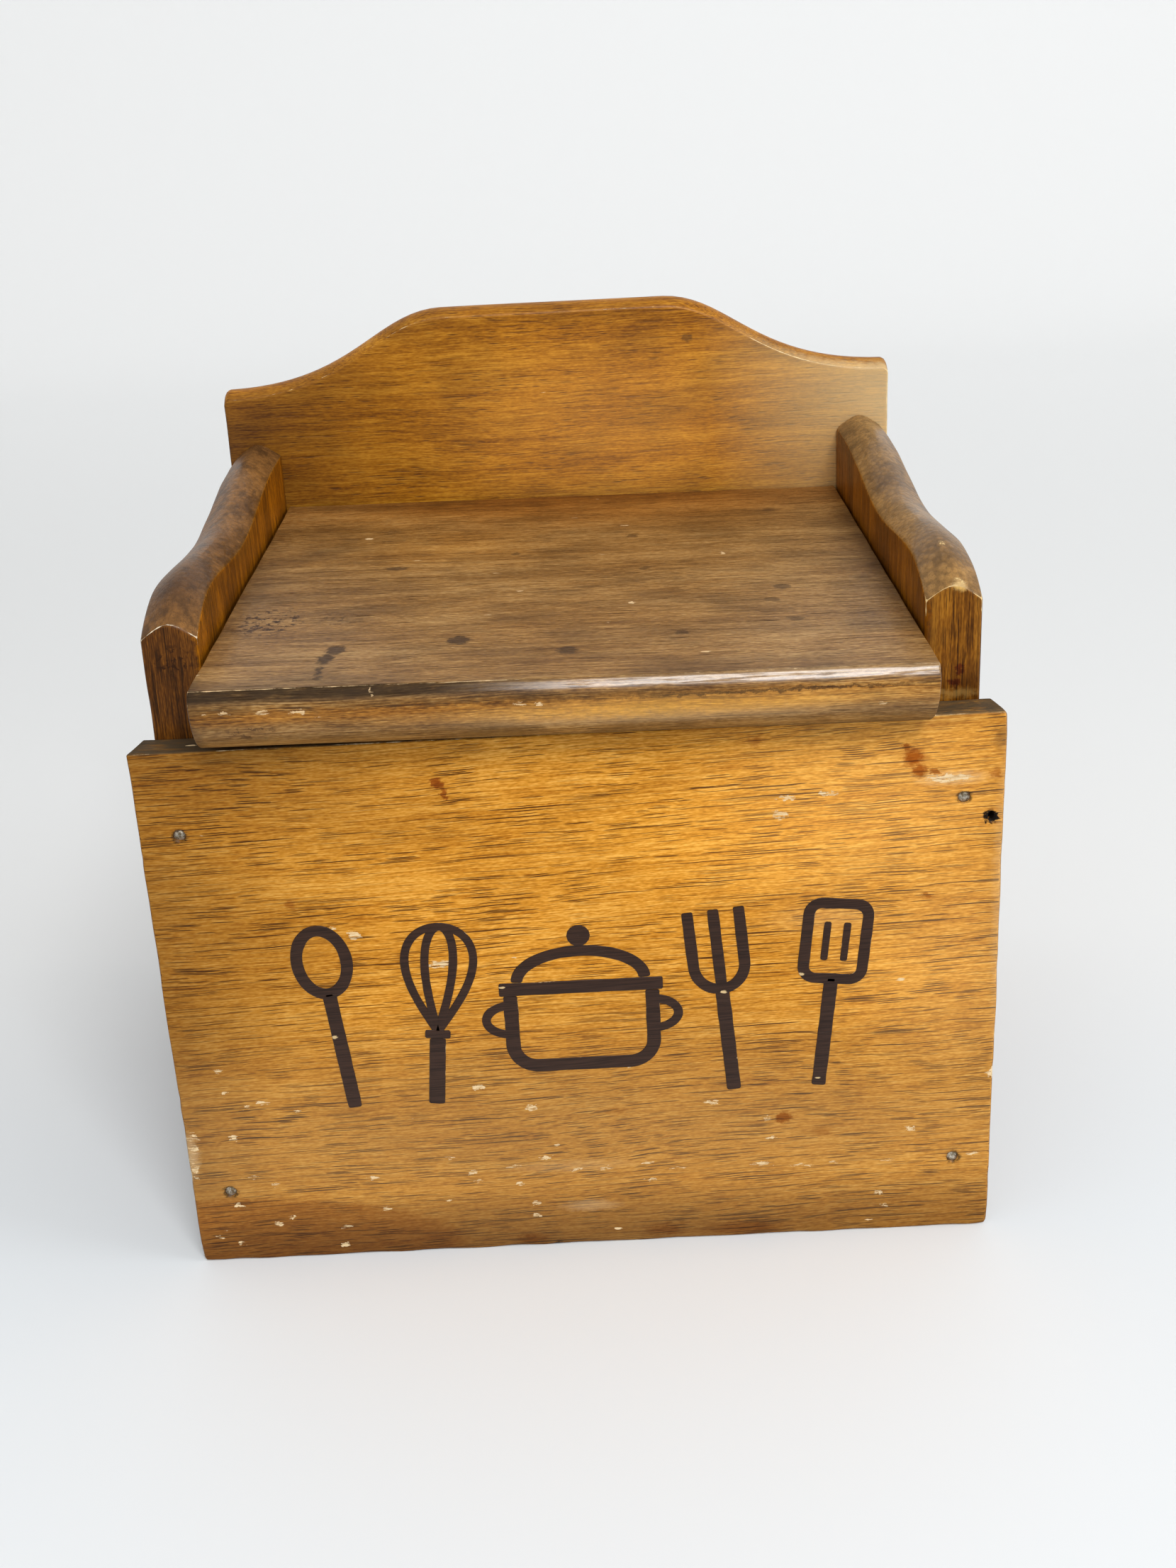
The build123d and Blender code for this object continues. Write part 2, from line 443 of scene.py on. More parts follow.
class WoodGrain(SharedEffect):
    """Open-pored wood in solid form, with its fibres along the first axis of Place.

    Pores are stretched cells: fine dashes on the face of a board and dots on its end. Their places
    are bent by slow noise, so that lines of pores wander as they do in a sawn board.
    """

    name = "open_pored_wood"
    takes = {"Place": VECTOR, "Rise": NUMBER, "Wander": NUMBER, "Pore Length": NUMBER, "Pore Gap": NUMBER,
             "Pore Edge": NUMBER}
    gives = ("Band", "Cloud", "Fibre", "Speck", "Pore", "Line")

    SWAY: ClassVar[Pattern] = Pattern((1 / 70, 1 / 30, 1 / 30), 1.0)
    SHAKE: ClassVar[Pattern] = Pattern((1 / 11, 1 / 5, 1 / 5), 1.0)
    SHAKE_SIZE: ClassVar[float] = 0.6
    PARTS: ClassVar[dict[str, Pattern]] = {
        "Fibre": Pattern((1 / 10, 1 / 0.26, 1 / 0.26), 2.0, 0.6),
        "Band": Pattern((1 / 60, 1 / 2.4, 1 / 2.4), 3.0, 0.6),
        "Cloud": Pattern((1 / 34, 1 / 13, 1 / 13)),
        "Speck": Pattern((1 / 1.3, 1 / 0.3, 1 / 0.3), 1.0)}

    @classmethod
    def wire(cls, nodes: Wiring, given: dict[str, Socket]) -> dict[str, Socket]:
        """Bends the place, then lays bands, clouds, fibres, specks, short pores and long lines over it."""
        place = given["Place"]
        climb = nodes.times(nodes.split(place)[0], given["Rise"])
        sway = nodes.times(nodes.minus(nodes.noise(place, cls.SWAY), 0.5), given["Wander"])
        shake = nodes.times(nodes.minus(nodes.noise(place, cls.SHAKE), 0.5), cls.SHAKE_SIZE)
        bent = nodes.vector("ADD", place, nodes.join(0.0, sway, nodes.minus(nodes.plus(sway, shake), climb)))
        parts = {name: nodes.noise(bent, pattern) for name, pattern in cls.PARTS.items()}

        dense = nodes.step(parts["Band"], 0.68, 0.44, 0.5, 1.0)
        other, third = (nodes.vector("ADD", bent, shift) for shift in ((31.0, 17.0, 53.0), (7.0, 71.0, 29.0)))
        first = cls.pore_layer(nodes, given, bent, 1.5, 1.0, (0.17, 0.38))
        second = cls.pore_layer(nodes, given, other, 0.5, 0.8, (0.22, 0.42))
        lines = cls.pore_layer(nodes, given, third, 2.6, 1.6, (0.12, 0.27))
        return {**parts, "Pore": nodes.times(nodes.most(first, second), dense), "Line": lines}

    @staticmethod
    def pore_layer(nodes: Wiring, given: dict[str, Socket], place: Socket, long: float, wide: float,
                   rims: tuple[float, float]) -> Socket:
        """One size of pore. Each cell's own values make its pore wider, thinner, paler or darker.

        Args:
            nodes: the group being wired.
            given: the group's inputs.
            place: the bent place.
            long: cell length, as a share of the pore length.
            wide: cell width, as a share of the pore gap.
            rims: the narrowest and widest pore, as shares of a cell.

        Returns:
            1 in a dark pore and 0 beside it.
        """
        along = nodes.maths("DIVIDE", 1 / long, given["Pore Length"])
        across = nodes.maths("DIVIDE", 1 / wide, given["Pore Gap"])
        stretched = nodes.vector("MULTIPLY", place, nodes.join(along, across, across))
        away, own = nodes.cells(stretched, 0.85)
        rim = nodes.blend(own[0], rims[1] - rims[0], rims[0])
        shape = nodes.step(away, rim, nodes.times(rim, given["Pore Edge"]))
        return nodes.times(shape, nodes.step(own[1], 0.05, 0.7, 0.2, 1.0))


class Spot(SharedEffect):
    """One soft-edged oval mark round a centre: 1 inside, 0 outside, with Soft as the share that fades."""

    name = "spot"
    takes = {"Place": VECTOR, "Centre": VECTOR, "Reach": VECTOR, "Soft": NUMBER}
    gives = ("Mask",)

    @classmethod
    def wire(cls, nodes: Wiring, given: dict[str, Socket]) -> dict[str, Socket]:
        """Measures how far the place is from the centre, in reaches."""
        offset = nodes.vector("SUBTRACT", given["Place"], given["Centre"])
        away = nodes.vector("LENGTH", nodes.vector("DIVIDE", offset, given["Reach"]), (0, 0, 0), "Value")
        return {"Mask": nodes.step(away, 1.0, nodes.minus(1.0, given["Soft"]))}


class Flecks(SharedEffect):
    """Scattered flecks: a share of the cells, each broken up by noise at its rim."""

    name = "flecks"
    takes = {"Place": VECTOR, "Cell": VECTOR, "Share": NUMBER, "Reach": NUMBER}
    gives = ("Mask",)

    RAGGED: ClassVar[Pattern] = Pattern((0.5, 2.2, 2.2), 3.0, 0.7)

    @classmethod
    def wire(cls, nodes: Wiring, given: dict[str, Socket]) -> dict[str, Socket]:
        """Picks cells whose own value is below the share, and roughens their outlines."""
        ragged = nodes.noise(given["Place"], cls.RAGGED)
        away, own = nodes.cells(nodes.vector("DIVIDE", given["Place"], given["Cell"]))
        picked = nodes.maths("LESS_THAN", own[0], given["Share"])
        rim = nodes.times(given["Reach"], nodes.step(own[1], 0.0, 1.0, 0.45, 1.0))
        away = nodes.minus(nodes.plus(away, nodes.times(ragged, 0.5)), 0.25)
        return {"Mask": nodes.times(nodes.step(away, rim, nodes.times(rim, 0.75)), picked)}


class EdgeWear(SharedEffect):
    """Where handling has rubbed the finish: broken pale lines on arrises and dirt beside them."""

    name = "edge_wear"
    takes = {"Place": VECTOR, "Arris": NUMBER, "Inset": NUMBER, "Rub": NUMBER, "Dirt Reach": NUMBER}
    gives = ("Rubbed", "Dirty")

    BROKEN: ClassVar[Pattern] = Pattern(0.35, 4.0, 0.65)
    COARSE: ClassVar[Pattern] = Pattern(0.06)

    @classmethod
    def wire(cls, nodes: Wiring, given: dict[str, Socket]) -> dict[str, Socket]:
        """Thresholds noise by how close the point is to an arris."""
        coarse = nodes.noise(given["Place"], cls.COARSE)
        push = nodes.plus(nodes.times(given["Arris"], given["Rub"]), nodes.noise(given["Place"], cls.BROKEN))
        push = nodes.plus(push, nodes.times(nodes.minus(coarse, 0.5), 0.8))
        near = nodes.step(given["Inset"], given["Dirt Reach"], 0.0)
        return {"Rubbed": nodes.step(push, 0.98, 1.16),
                "Dirty": nodes.times(near, nodes.step(coarse, 0.3, 0.75))}


# ---- Finishes -------------------------------------------------------------------------------------


def linear(red: int, green: int, blue: int) -> Colour:
    """A screen colour from 0 to 255 as linear light: ((c + 0.055) / 1.055) ^ 2.4 above the dark end."""
    shares = [channel / 255 for channel in (red, green, blue)]
    return tuple(s / 12.92 if s <= 0.04045 else ((s + 0.055) / 1.055) ** 2.4 for s in shares)


@dataclass(frozen=True)
class Mark:
    """A mark at a place on a board, with how far it reaches along X, Y and Z."""

    kind: MarkKind
    at: Point
    reach: Point
    strength: float = 1.0
    soft: float = 0.6


def face_marks(face: Face, level: float, kind: MarkKind, rows: Rows, usual: tuple[float, float] = (1.0, 0.6),
               depth: float = 3.0) -> tuple[Mark, ...]:
    """Marks on a flat face.

    Args:
        face: the way that the face looks.
        level: where the face is along that axis.
        kind: what the marks are.
        rows: two places and two reaches along the other axes, then strength and softness unless
            they are the usual ones.
        usual: the usual strength and softness.
        depth: how far the marks reach through the face.

    Returns:
        One mark for each row.
    """
    at = face.value
    return tuple(Mark(kind, (*row[:at], level, *row[at:2]), (*row[2:2 + at], depth, *row[2 + at:4]),
                      *(row[4:] or usual)) for row in rows)


def free_marks(kind: MarkKind, soft: float, rows: Rows) -> tuple[Mark, ...]:
    """Marks anywhere: rows of a place, a reach along X, Y and Z, and a strength."""
    return tuple(Mark(kind, row[:3], row[3:6], row[6], soft) for row in rows)


@dataclass(frozen=True)
class GrainPlay:
    """How strongly each part of the grain shows."""

    band: float = 0.9
    cloud: float = 0.7
    fibre: float = 2.0
    speck: float = 1.1
    pore: float = 0.9
    line: float = 1.0


@dataclass(frozen=True)
class Grain:
    """The way a board's fibres run and how its open pores lie along them."""

    way: GrainWay = GrainWay.ALONG_X
    seed: float = 0.0
    rise: float = 0.0
    wander: float = 3.0
    pore_length: float = 18.0
    pore_gap: float = 0.38
    pore_edge: float = 0.8

    SHIFT: ClassVar[Point] = (37.0, 11.0, 23.0)

    def place(self, nodes: Wiring, place: Socket) -> Socket:
        """The place with the fibres' way first, moved by the seed so that no two boards match."""
        if self.way is GrainWay.ALONG_Z:
            parts = nodes.split(place)
            place = nodes.join(parts[2], parts[0], parts[1])
        return nodes.vector("ADD", place, tuple(self.seed * shift for shift in self.SHIFT))

    def parts(self, nodes: Wiring, grained: Socket) -> bpy.types.NodeOutputs:
        """The wood's bands, clouds, fibres, specks, pores and lines at a grain place."""
        return nodes.apply(WoodGrain, {"Place": grained, "Rise": self.rise, "Wander": self.wander,
                                       "Pore Length": self.pore_length, "Pore Gap": self.pore_gap,
                                       "Pore Edge": self.pore_edge})


@dataclass(frozen=True)
class WoodFinish:
    """One board's stained and varnished wood."""

    name: str
    grain: Grain = Grain()
    play: GrainPlay = GrainPlay()
    marks: tuple[Mark, ...] = ()
    pale: Colour = linear(238, 170, 60)
    middle: Colour = linear(210, 138, 22)
    deep: Colour = linear(164, 96, 6)
    pore: Colour = linear(80, 42, 6)
    # Pale bared wood; also painted sheen and highlights.
    worn: Colour = linear(240, 214, 162)
    # Colour of dirt, and of painted shade from the dark marks.
    dirt_and_shade_colour: Colour = linear(84, 58, 30)
    # Multiplier for warmer wood; it also gives painted light and the painted reflection of the backboard.
    amber: Colour = (1.22, 1.2, 1.0)
    # Stain colour; on the lid it also gives painted shade along the back.
    stain: Colour = linear(198, 132, 30)
    speckle: Colour = linear(74, 34, 14)
    # Colour of grime, and of painted shade under the lid.
    grime_and_shade: Colour = linear(66, 60, 48)
    bare: Colour = linear(150, 108, 62)
    soot: Colour = linear(24, 17, 10)
    end_colour: Colour = linear(112, 72, 28)
    end_share_mixed: float = 0.7
    end_speckle: float = 0.35
    end_mottle: float = 0.0
    end_coat: float = 0.0
    leather: float = 0.0
    blotch: float = 0.1
    gloss: float = 0.4
    coat: float = 0.08
    sheen: float = 0.2
    rub: float = 0.48
    dirt_reach: float = 5.0
    dirt_strength: float = 0.4
    fleck_share: float = 0.03

    RIM: ClassVar[Pattern] = Pattern(1.0, 5.0, 0.72)
    RIM_STRETCH: ClassVar[Point] = (0.55, 0.8, 0.8)
    RIM_REACH: ClassVar[Point] = (4.5, 3.0, 3.0)
    END_DOTS: ClassVar[Pattern] = Pattern(0.9, 3.0, 0.7, (0.62, 0.38))
    MOTTLE: ClassVar[Pattern] = Pattern((0.3, 0.14, 0.2), 5.0, 0.6, (0.47, 0.64))
    BLOTCH: ClassVar[Pattern] = Pattern((0.05, 0.09, 0.09), 3.0, 0.55, (0.4, 0.7))
    SMUDGE: ClassVar[Pattern] = Pattern((0.12, 0.5, 0.5), 4.0, 0.65, (0.28, 0.52, 0.55, 1.0))
    DOTS: ClassVar[Pattern] = Pattern(0.75, 3.0, 0.6, (0.5, 0.6))
    TORN: ClassVar[Pattern] = Pattern((0.36, 2.9, 2.9), 4.0, 0.7)
    STREAKS: ClassVar[Pattern] = Pattern((0.09, 1.9, 1.9), 3.0, 0.6, (0.64, 0.5, 0.05, 1.0))
    FLECK_CELL: ClassVar[Point] = (6.0, 2.4, 2.4)

    def mark_masks(self, nodes: Wiring, place: Socket) -> dict[MarkKind, Socket]:
        """One mask for each kind of mark that the board has, from spots with ragged rims."""
        stretched = [nodes.vector("MULTIPLY", place, self.RIM_STRETCH) for _ in range(2)]
        moved = [nodes.vector("ADD", *pair) for pair in zip(stretched, ((0, 0, 0), (91, 47, 13)))]
        parts = [nodes.minus(nodes.noise(each, self.RIM), 0.5) for each in moved]
        jitter = nodes.join(parts[0], parts[1], parts[1])
        torn = nodes.vector("ADD", place, nodes.vector("MULTIPLY", jitter, self.RIM_REACH))
        masks = {}
        for mark in self.marks:
            inputs = {"Place": torn, "Centre": mark.at, "Reach": mark.reach, "Soft": mark.soft}
            mask = nodes.times(nodes.apply(Spot, inputs)["Mask"], mark.strength)
            masks[mark.kind] = nodes.most(masks[mark.kind], mask) if mark.kind in masks else mask
        return masks

    def survey(self, nodes: Wiring) -> dict[str, object]:
        """Everything that the later steps look at.

        The tone is the wood's lightness before pores: 0.5 plus each part's distance from its middle,
        weighted. Hides are the cells of thick, crackled varnish on the end grain.

        Args:
            nodes: the material being wired.

        Returns:
            The place, the grain's place and parts, and the masks, by name.
        """
        place = nodes.place()
        grained = self.grain.place(nodes, place)
        grain = self.grain.parts(nodes, grained)
        tone = 0.5
        for part in ("band", "cloud", "fibre", "speck"):
            away = nodes.minus(grain[part.title()], 0.5)
            tone = nodes.blend(away, getattr(self.play, part), tone)
        ends = nodes.layer("end")
        grooves = nodes.most(*(nodes.times(grain[part.title()], getattr(self.play, part))
                               for part in ("pore", "line")))
        scattered = nodes.vector("ADD", nodes.vector("MULTIPLY", place, (0.8, 0.62, 0.62)), (3.0, 5.0, 7.0))
        wear = nodes.apply(EdgeWear, {"Place": place, "Rub": self.rub, "Dirt Reach": self.dirt_reach,
                                      "Arris": nodes.layer("arris"), "Inset": nodes.layer("inset")})
        masks = self.mark_masks(nodes, place)
        # Dirt by the arrises, with the dark marks, which include painted shade.
        dirt_and_shade = nodes.times(wear["Dirty"], self.dirt_strength)
        if MarkKind.SHADE in masks:
            dirt_and_shade = nodes.most(dirt_and_shade, masks[MarkKind.SHADE])
        return {"place": place, "grained": grained, "grain": grain, "tone": tone, "ends": ends,
                "inside": nodes.layer("inside"), "grime_and_shade": nodes.layer("grime_and_shade"), "rubbed": wear["Rubbed"],
                "masks": masks, "dirt_and_shade": dirt_and_shade,
                "grooves": nodes.times(grooves, nodes.step(ends, 0.0, 1.0, 1.0, 0.45)),
                "hides": nodes.times(nodes.step(nodes.cells(scattered)[0], 0.3, 0.72), ends)}

    def wood(self, nodes: Wiring, seen: dict) -> Socket:
        """The stained faces, the end grain over them and the bare insides, all with dark pores."""
        tone, grooves = seen["tone"], seen["grooves"]
        colour = nodes.mix(nodes.ramp(tone, 0.0, 0.5), self.deep, self.middle)
        colour = nodes.mix(nodes.ramp(tone, 0.5, 1.0), colour, self.pale)
        cut = nodes.mix(self.end_share_mixed, colour, self.end_colour)
        for mask, strength in ((nodes.mask(seen["place"], self.END_DOTS), self.end_speckle),
                               (seen["hides"], self.leather),
                               (nodes.mask(seen["place"], self.MOTTLE), self.end_mottle)):
            cut = nodes.mix(nodes.times(mask, strength), cut, self.pore)
        colour = nodes.mix(grooves, nodes.mix(seen["ends"], colour, cut), self.pore)
        bare = nodes.mix(nodes.ramp(tone, 0.2, 0.9), self.bare, self.pale)
        return nodes.mix(seen["inside"], colour, nodes.mix(grooves, bare, self.pore))

    def dirtied_and_shaded(self, nodes: Wiring, seen: dict, colour: Socket) -> Socket:
        """Dirt and painted shade, slow blotches outside, and built-up grime and painted shade over a face."""
        dark = nodes.mix(0.3, nodes.mix(0.75, colour, self.dirt_and_shade_colour, "MULTIPLY"), self.dirt_and_shade_colour)
        colour = nodes.mix(seen["dirt_and_shade"], colour, dark)
        blotches = nodes.times(nodes.mask(seen["grained"], self.BLOTCH), self.blotch)
        colour = nodes.tint(nodes.times(blotches, nodes.minus(1.0, seen["inside"])), colour, self.dirt_and_shade_colour)
        grimy_and_shaded = nodes.times(seen["grime_and_shade"], nodes.mask(seen["place"], self.SMUDGE))
        return nodes.mix(grimy_and_shaded, colour, nodes.mix(0.12, self.grime_and_shade, colour))

    def marked(self, nodes: Wiring, seen: dict, colour: Socket) -> Socket:
        """Smears, then stains showing through them, brighter wood and dried dots; some are painted light and
        shade.
        """
        masks = seen["masks"]
        # Worn haze, and painted sheen and highlights.
        if MarkKind.SMEAR in masks:
            colour = nodes.mix(nodes.times(masks[MarkKind.SMEAR], 0.6), colour, self.worn)
        # Stains, and painted shade at the lid's back.
        if MarkKind.STAIN in masks:
            colour = nodes.tint(masks[MarkKind.STAIN], colour, self.stain)
        # Warmer wood, and painted light and reflections.
        if MarkKind.GLOW in masks:
            glow = nodes.times(masks[MarkKind.GLOW], nodes.minus(1.0, seen["ends"]))
            colour = nodes.tint(glow, colour, self.amber)
        if MarkKind.SPECKLE in masks:
            dots = nodes.times(nodes.mask(seen["place"], self.DOTS), masks[MarkKind.SPECKLE])
            colour = nodes.mix(dots, colour, self.speckle)
        return colour

    def chipped(self, nodes: Wiring, seen: dict) -> Socket:
        """Where the finish is off, apart from the pores: flecks, rubbed arrises and torn chips."""
        chips = nodes.apply(Flecks, {"Place": seen["grained"], "Cell": self.FLECK_CELL,
                                     "Share": self.fleck_share, "Reach": 0.2})["Mask"]
        chips = nodes.most(chips, seen["rubbed"])
        if MarkKind.CHIP in seen["masks"]:
            torn = nodes.plus(seen["masks"][MarkKind.CHIP], nodes.noise(seen["grained"], self.TORN))
            chips = nodes.most(chips, nodes.step(torn, 1.02, 1.14))
        return nodes.times(chips, nodes.blend(seen["grooves"], -0.6, 1.0))

    def material(self) -> bpy.types.Material:
        """Builds the node material: wood, dirt and painted shade, marks, chips, soot and varnish, in that
        order.

        Returns:
            The material.
        """
        made, nodes, shader = new_material(self.name)
        seen = self.survey(nodes)
        colour = self.marked(nodes, seen, self.dirtied_and_shaded(nodes, seen, self.wood(nodes, seen)))
        chips = self.chipped(nodes, seen)
        colour = nodes.mix(chips, colour, self.worn)
        if MarkKind.SOOT in seen["masks"]:
            colour = nodes.mix(seen["masks"][MarkKind.SOOT], colour, self.soot)
        nodes.feed(shader, {"Base Color": colour})
        self.varnish(nodes, shader, {**seen, "chips": chips})
        return made

    def varnish(self, nodes: Wiring, shader: bpy.types.Node, seen: dict) -> None:
        """Sets the gloss, the thin coat and the relief.

        Args:
            nodes: the material being wired.
            shader: its Principled shader.
            seen: what the survey found, with the chips.
        """
        grain = seen["grain"]
        polish = nodes.times(nodes.layer("polish"), nodes.mask(seen["grained"], self.STREAKS))
        dull = nodes.most(seen["chips"], nodes.times(seen["inside"], 0.8), nodes.times(seen["dirt_and_shade"], 0.3),
                          nodes.times(seen["grime_and_shade"], 0.85))
        rough = nodes.blend(grain["Fibre"], 0.1, nodes.blend(grain["Pore"], 0.2, self.gloss))
        rough = nodes.blend(polish, -0.15, nodes.blend(dull, 0.35, rough))
        coat = nodes.blend(seen["ends"], self.end_coat, nodes.blend(polish, 0.9, self.coat))
        nodes.feed(shader, {"Roughness": rough, "Coat Weight": nodes.times(nodes.minus(1.0, dull), coat),
                            "Coat Roughness": 0.2, "Specular IOR Level": self.sheen})
        height = nodes.blend(grain["Pore"], -0.8, nodes.times(grain["Fibre"], 0.4))
        for part, depth in ((grain["Line"], 1.0), (seen["chips"], 1.2),
                            (nodes.times(seen["hides"], 0.3 + self.leather), 2.0)):
            height = nodes.blend(part, -depth, height)
        nodes.relief(shader, height)


@dataclass(frozen=True)
class PrintFinish:
    """Dark brown enamel laid on the panel, with the grain showing through and small chips."""

    grain: Grain
    name: str = "print_brown"
    colour: Colour = linear(60, 40, 30)
    streak: Colour = linear(40, 25, 18)
    worn: Colour = linear(206, 178, 130)

    def material(self) -> bpy.types.Material:
        """Builds the enamel, with pores and fibres telegraphing as relief and darker streaks."""
        made, nodes, shader = new_material(self.name)
        place = nodes.place()
        grain = self.grain.parts(nodes, self.grain.place(nodes, place))
        colour = nodes.mix(nodes.step(grain["Fibre"], 0.35, 0.7), self.colour, self.streak)
        flecks = nodes.apply(Flecks, {"Place": place, "Cell": (3.2, 1.6, 1.6), "Share": 0.07, "Reach": 0.26})
        wear = nodes.apply(EdgeWear, {"Place": place, "Arris": nodes.layer("arris"), "Inset": 5.0,
                                      "Rub": 0.42, "Dirt Reach": 1.0})
        chips = nodes.most(flecks["Mask"], wear["Rubbed"])
        nodes.feed(shader, {"Base Color": nodes.mix(chips, colour, self.worn),
                            "Roughness": nodes.step(grain["Fibre"], 0.2, 0.9, 0.3, 0.5),
                            "Specular IOR Level": 0.25})
        height = nodes.blend(grain["Line"], -1.0, nodes.times(grain["Fibre"], 0.5))
        nodes.relief(shader, nodes.minus(height, chips))
        return made


@dataclass(frozen=True)
class SteelFinish:
    """Dull, lightly rusted nail steel."""

    name: str
    bright: Colour = linear(204, 196, 180)
    dull: Colour = linear(120, 106, 78)
    rust: Colour = linear(82, 54, 30)

    BLOTCH: ClassVar[Pattern] = Pattern(1.3, 3.0, 0.6)
    RUST: ClassVar[Pattern] = Pattern(2.7, 4.0, 0.65, (0.52, 0.66))

    def material(self) -> bpy.types.Material:
        """Builds the steel, blotched by noise and darkest where rust has taken."""
        made, nodes, shader = new_material(self.name)
        place = nodes.place()
        blotch = nodes.noise(place, self.BLOTCH)
        rust = nodes.most(nodes.mask(place, self.RUST), nodes.layer("rim"))
        colour = nodes.mix(nodes.step(blotch, 0.35, 0.65), self.bright, self.dull)
        nodes.feed(shader, {"Base Color": nodes.mix(rust, colour, self.rust),
                            "Metallic": nodes.step(rust, 0.0, 1.0, 0.6, 0.25),
                            "Roughness": nodes.step(rust, 0.0, 1.0, 0.34, 0.75)})
        nodes.relief(shader, blotch, 0.4)
        return made


# ---- Boards ---------------------------------------------------------------------------------------


@dataclass(frozen=True)
class Seat:
    """A round sinking in a board's face: a nail's seat, a pin's bore or an old hole."""

    centre: Point
    axis: int
    sign: int
    radius: float
    depth: float
    stretch: float = 1.0
    wall: float = 0.07

    INNER: ClassVar[tuple[float, ...]] = (0.4, 0.75, 1.0)   # rings inside the radius, as shares of it
    OUTER: ClassVar[tuple[float, ...]] = (0.35, 0.9)        # rings outside the wall, likewise
    ROUND_TO: ClassVar[float] = 1.35                        # squares are full circles up to here, likewise
    REACH: ClassVar[float] = 2.3                            # and plain squares again from here
    FACE_DEPTH: ClassVar[float] = 0.45                      # how near the face a point has to be

    def ticks(self, axis: int) -> Array:
        """Places along one in-plane axis that the sinking needs."""
        long = self.stretch if axis == 2 else 1.0
        inner = np.array([0.0, *self.INNER]) * self.radius
        outer = self.radius + np.array([self.wall, *(share * self.radius for share in self.OUTER)])
        half = np.concatenate([inner, outer]) * long
        return self.centre[axis] + np.unique(np.concatenate([-half, half]))

    def press(self, points: Array, centre: Array) -> Array:
        """Turns the lattice's squares round the centre into circles and sinks the inner ones.

        With d the in-plane offset and c its larger part, squares become circles by d * c / |d|,
        fading out with c. Points with c up to the radius sink by the depth.

        Args:
            points: the board's points.
            centre: the seat's middle, on the face, before the board is shaped.

        Returns:
            The moved points.
        """
        plane = [a for a in range(3) if a != self.axis]
        offset = points[:, plane] - centre[plane]
        offset[:, 1] /= self.stretch
        square = np.abs(offset).max(1)
        on_face = np.abs(points[:, self.axis] - centre[self.axis]) < self.FACE_DEPTH
        weight = ramp(square, self.REACH * self.radius, self.ROUND_TO * self.radius) * on_face
        length = np.maximum(np.hypot(*offset.T), 1e-9)
        turn = np.arctan2(offset[:, 1], offset[:, 0])
        ragged = 1 + 0.035 * np.sin(3 * turn + centre[0]) + 0.025 * np.sin(7 * turn + centre[2])
        circle = offset * (square / length * ragged)[:, None]
        moved = offset + (circle - offset) * weight[:, None]
        moved[:, 1] *= self.stretch
        pressed = points.copy()
        pressed[:, plane] = centre[plane] + moved
        sink = ramp(square, self.radius + self.wall, self.radius) * self.depth * on_face
        pressed[:, self.axis] -= self.sign * sink
        return pressed


@dataclass(frozen=True)
class Nick:
    """A place where a board's arris is knocked rounder than elsewhere."""

    at: Point
    reach: float
    depth: float


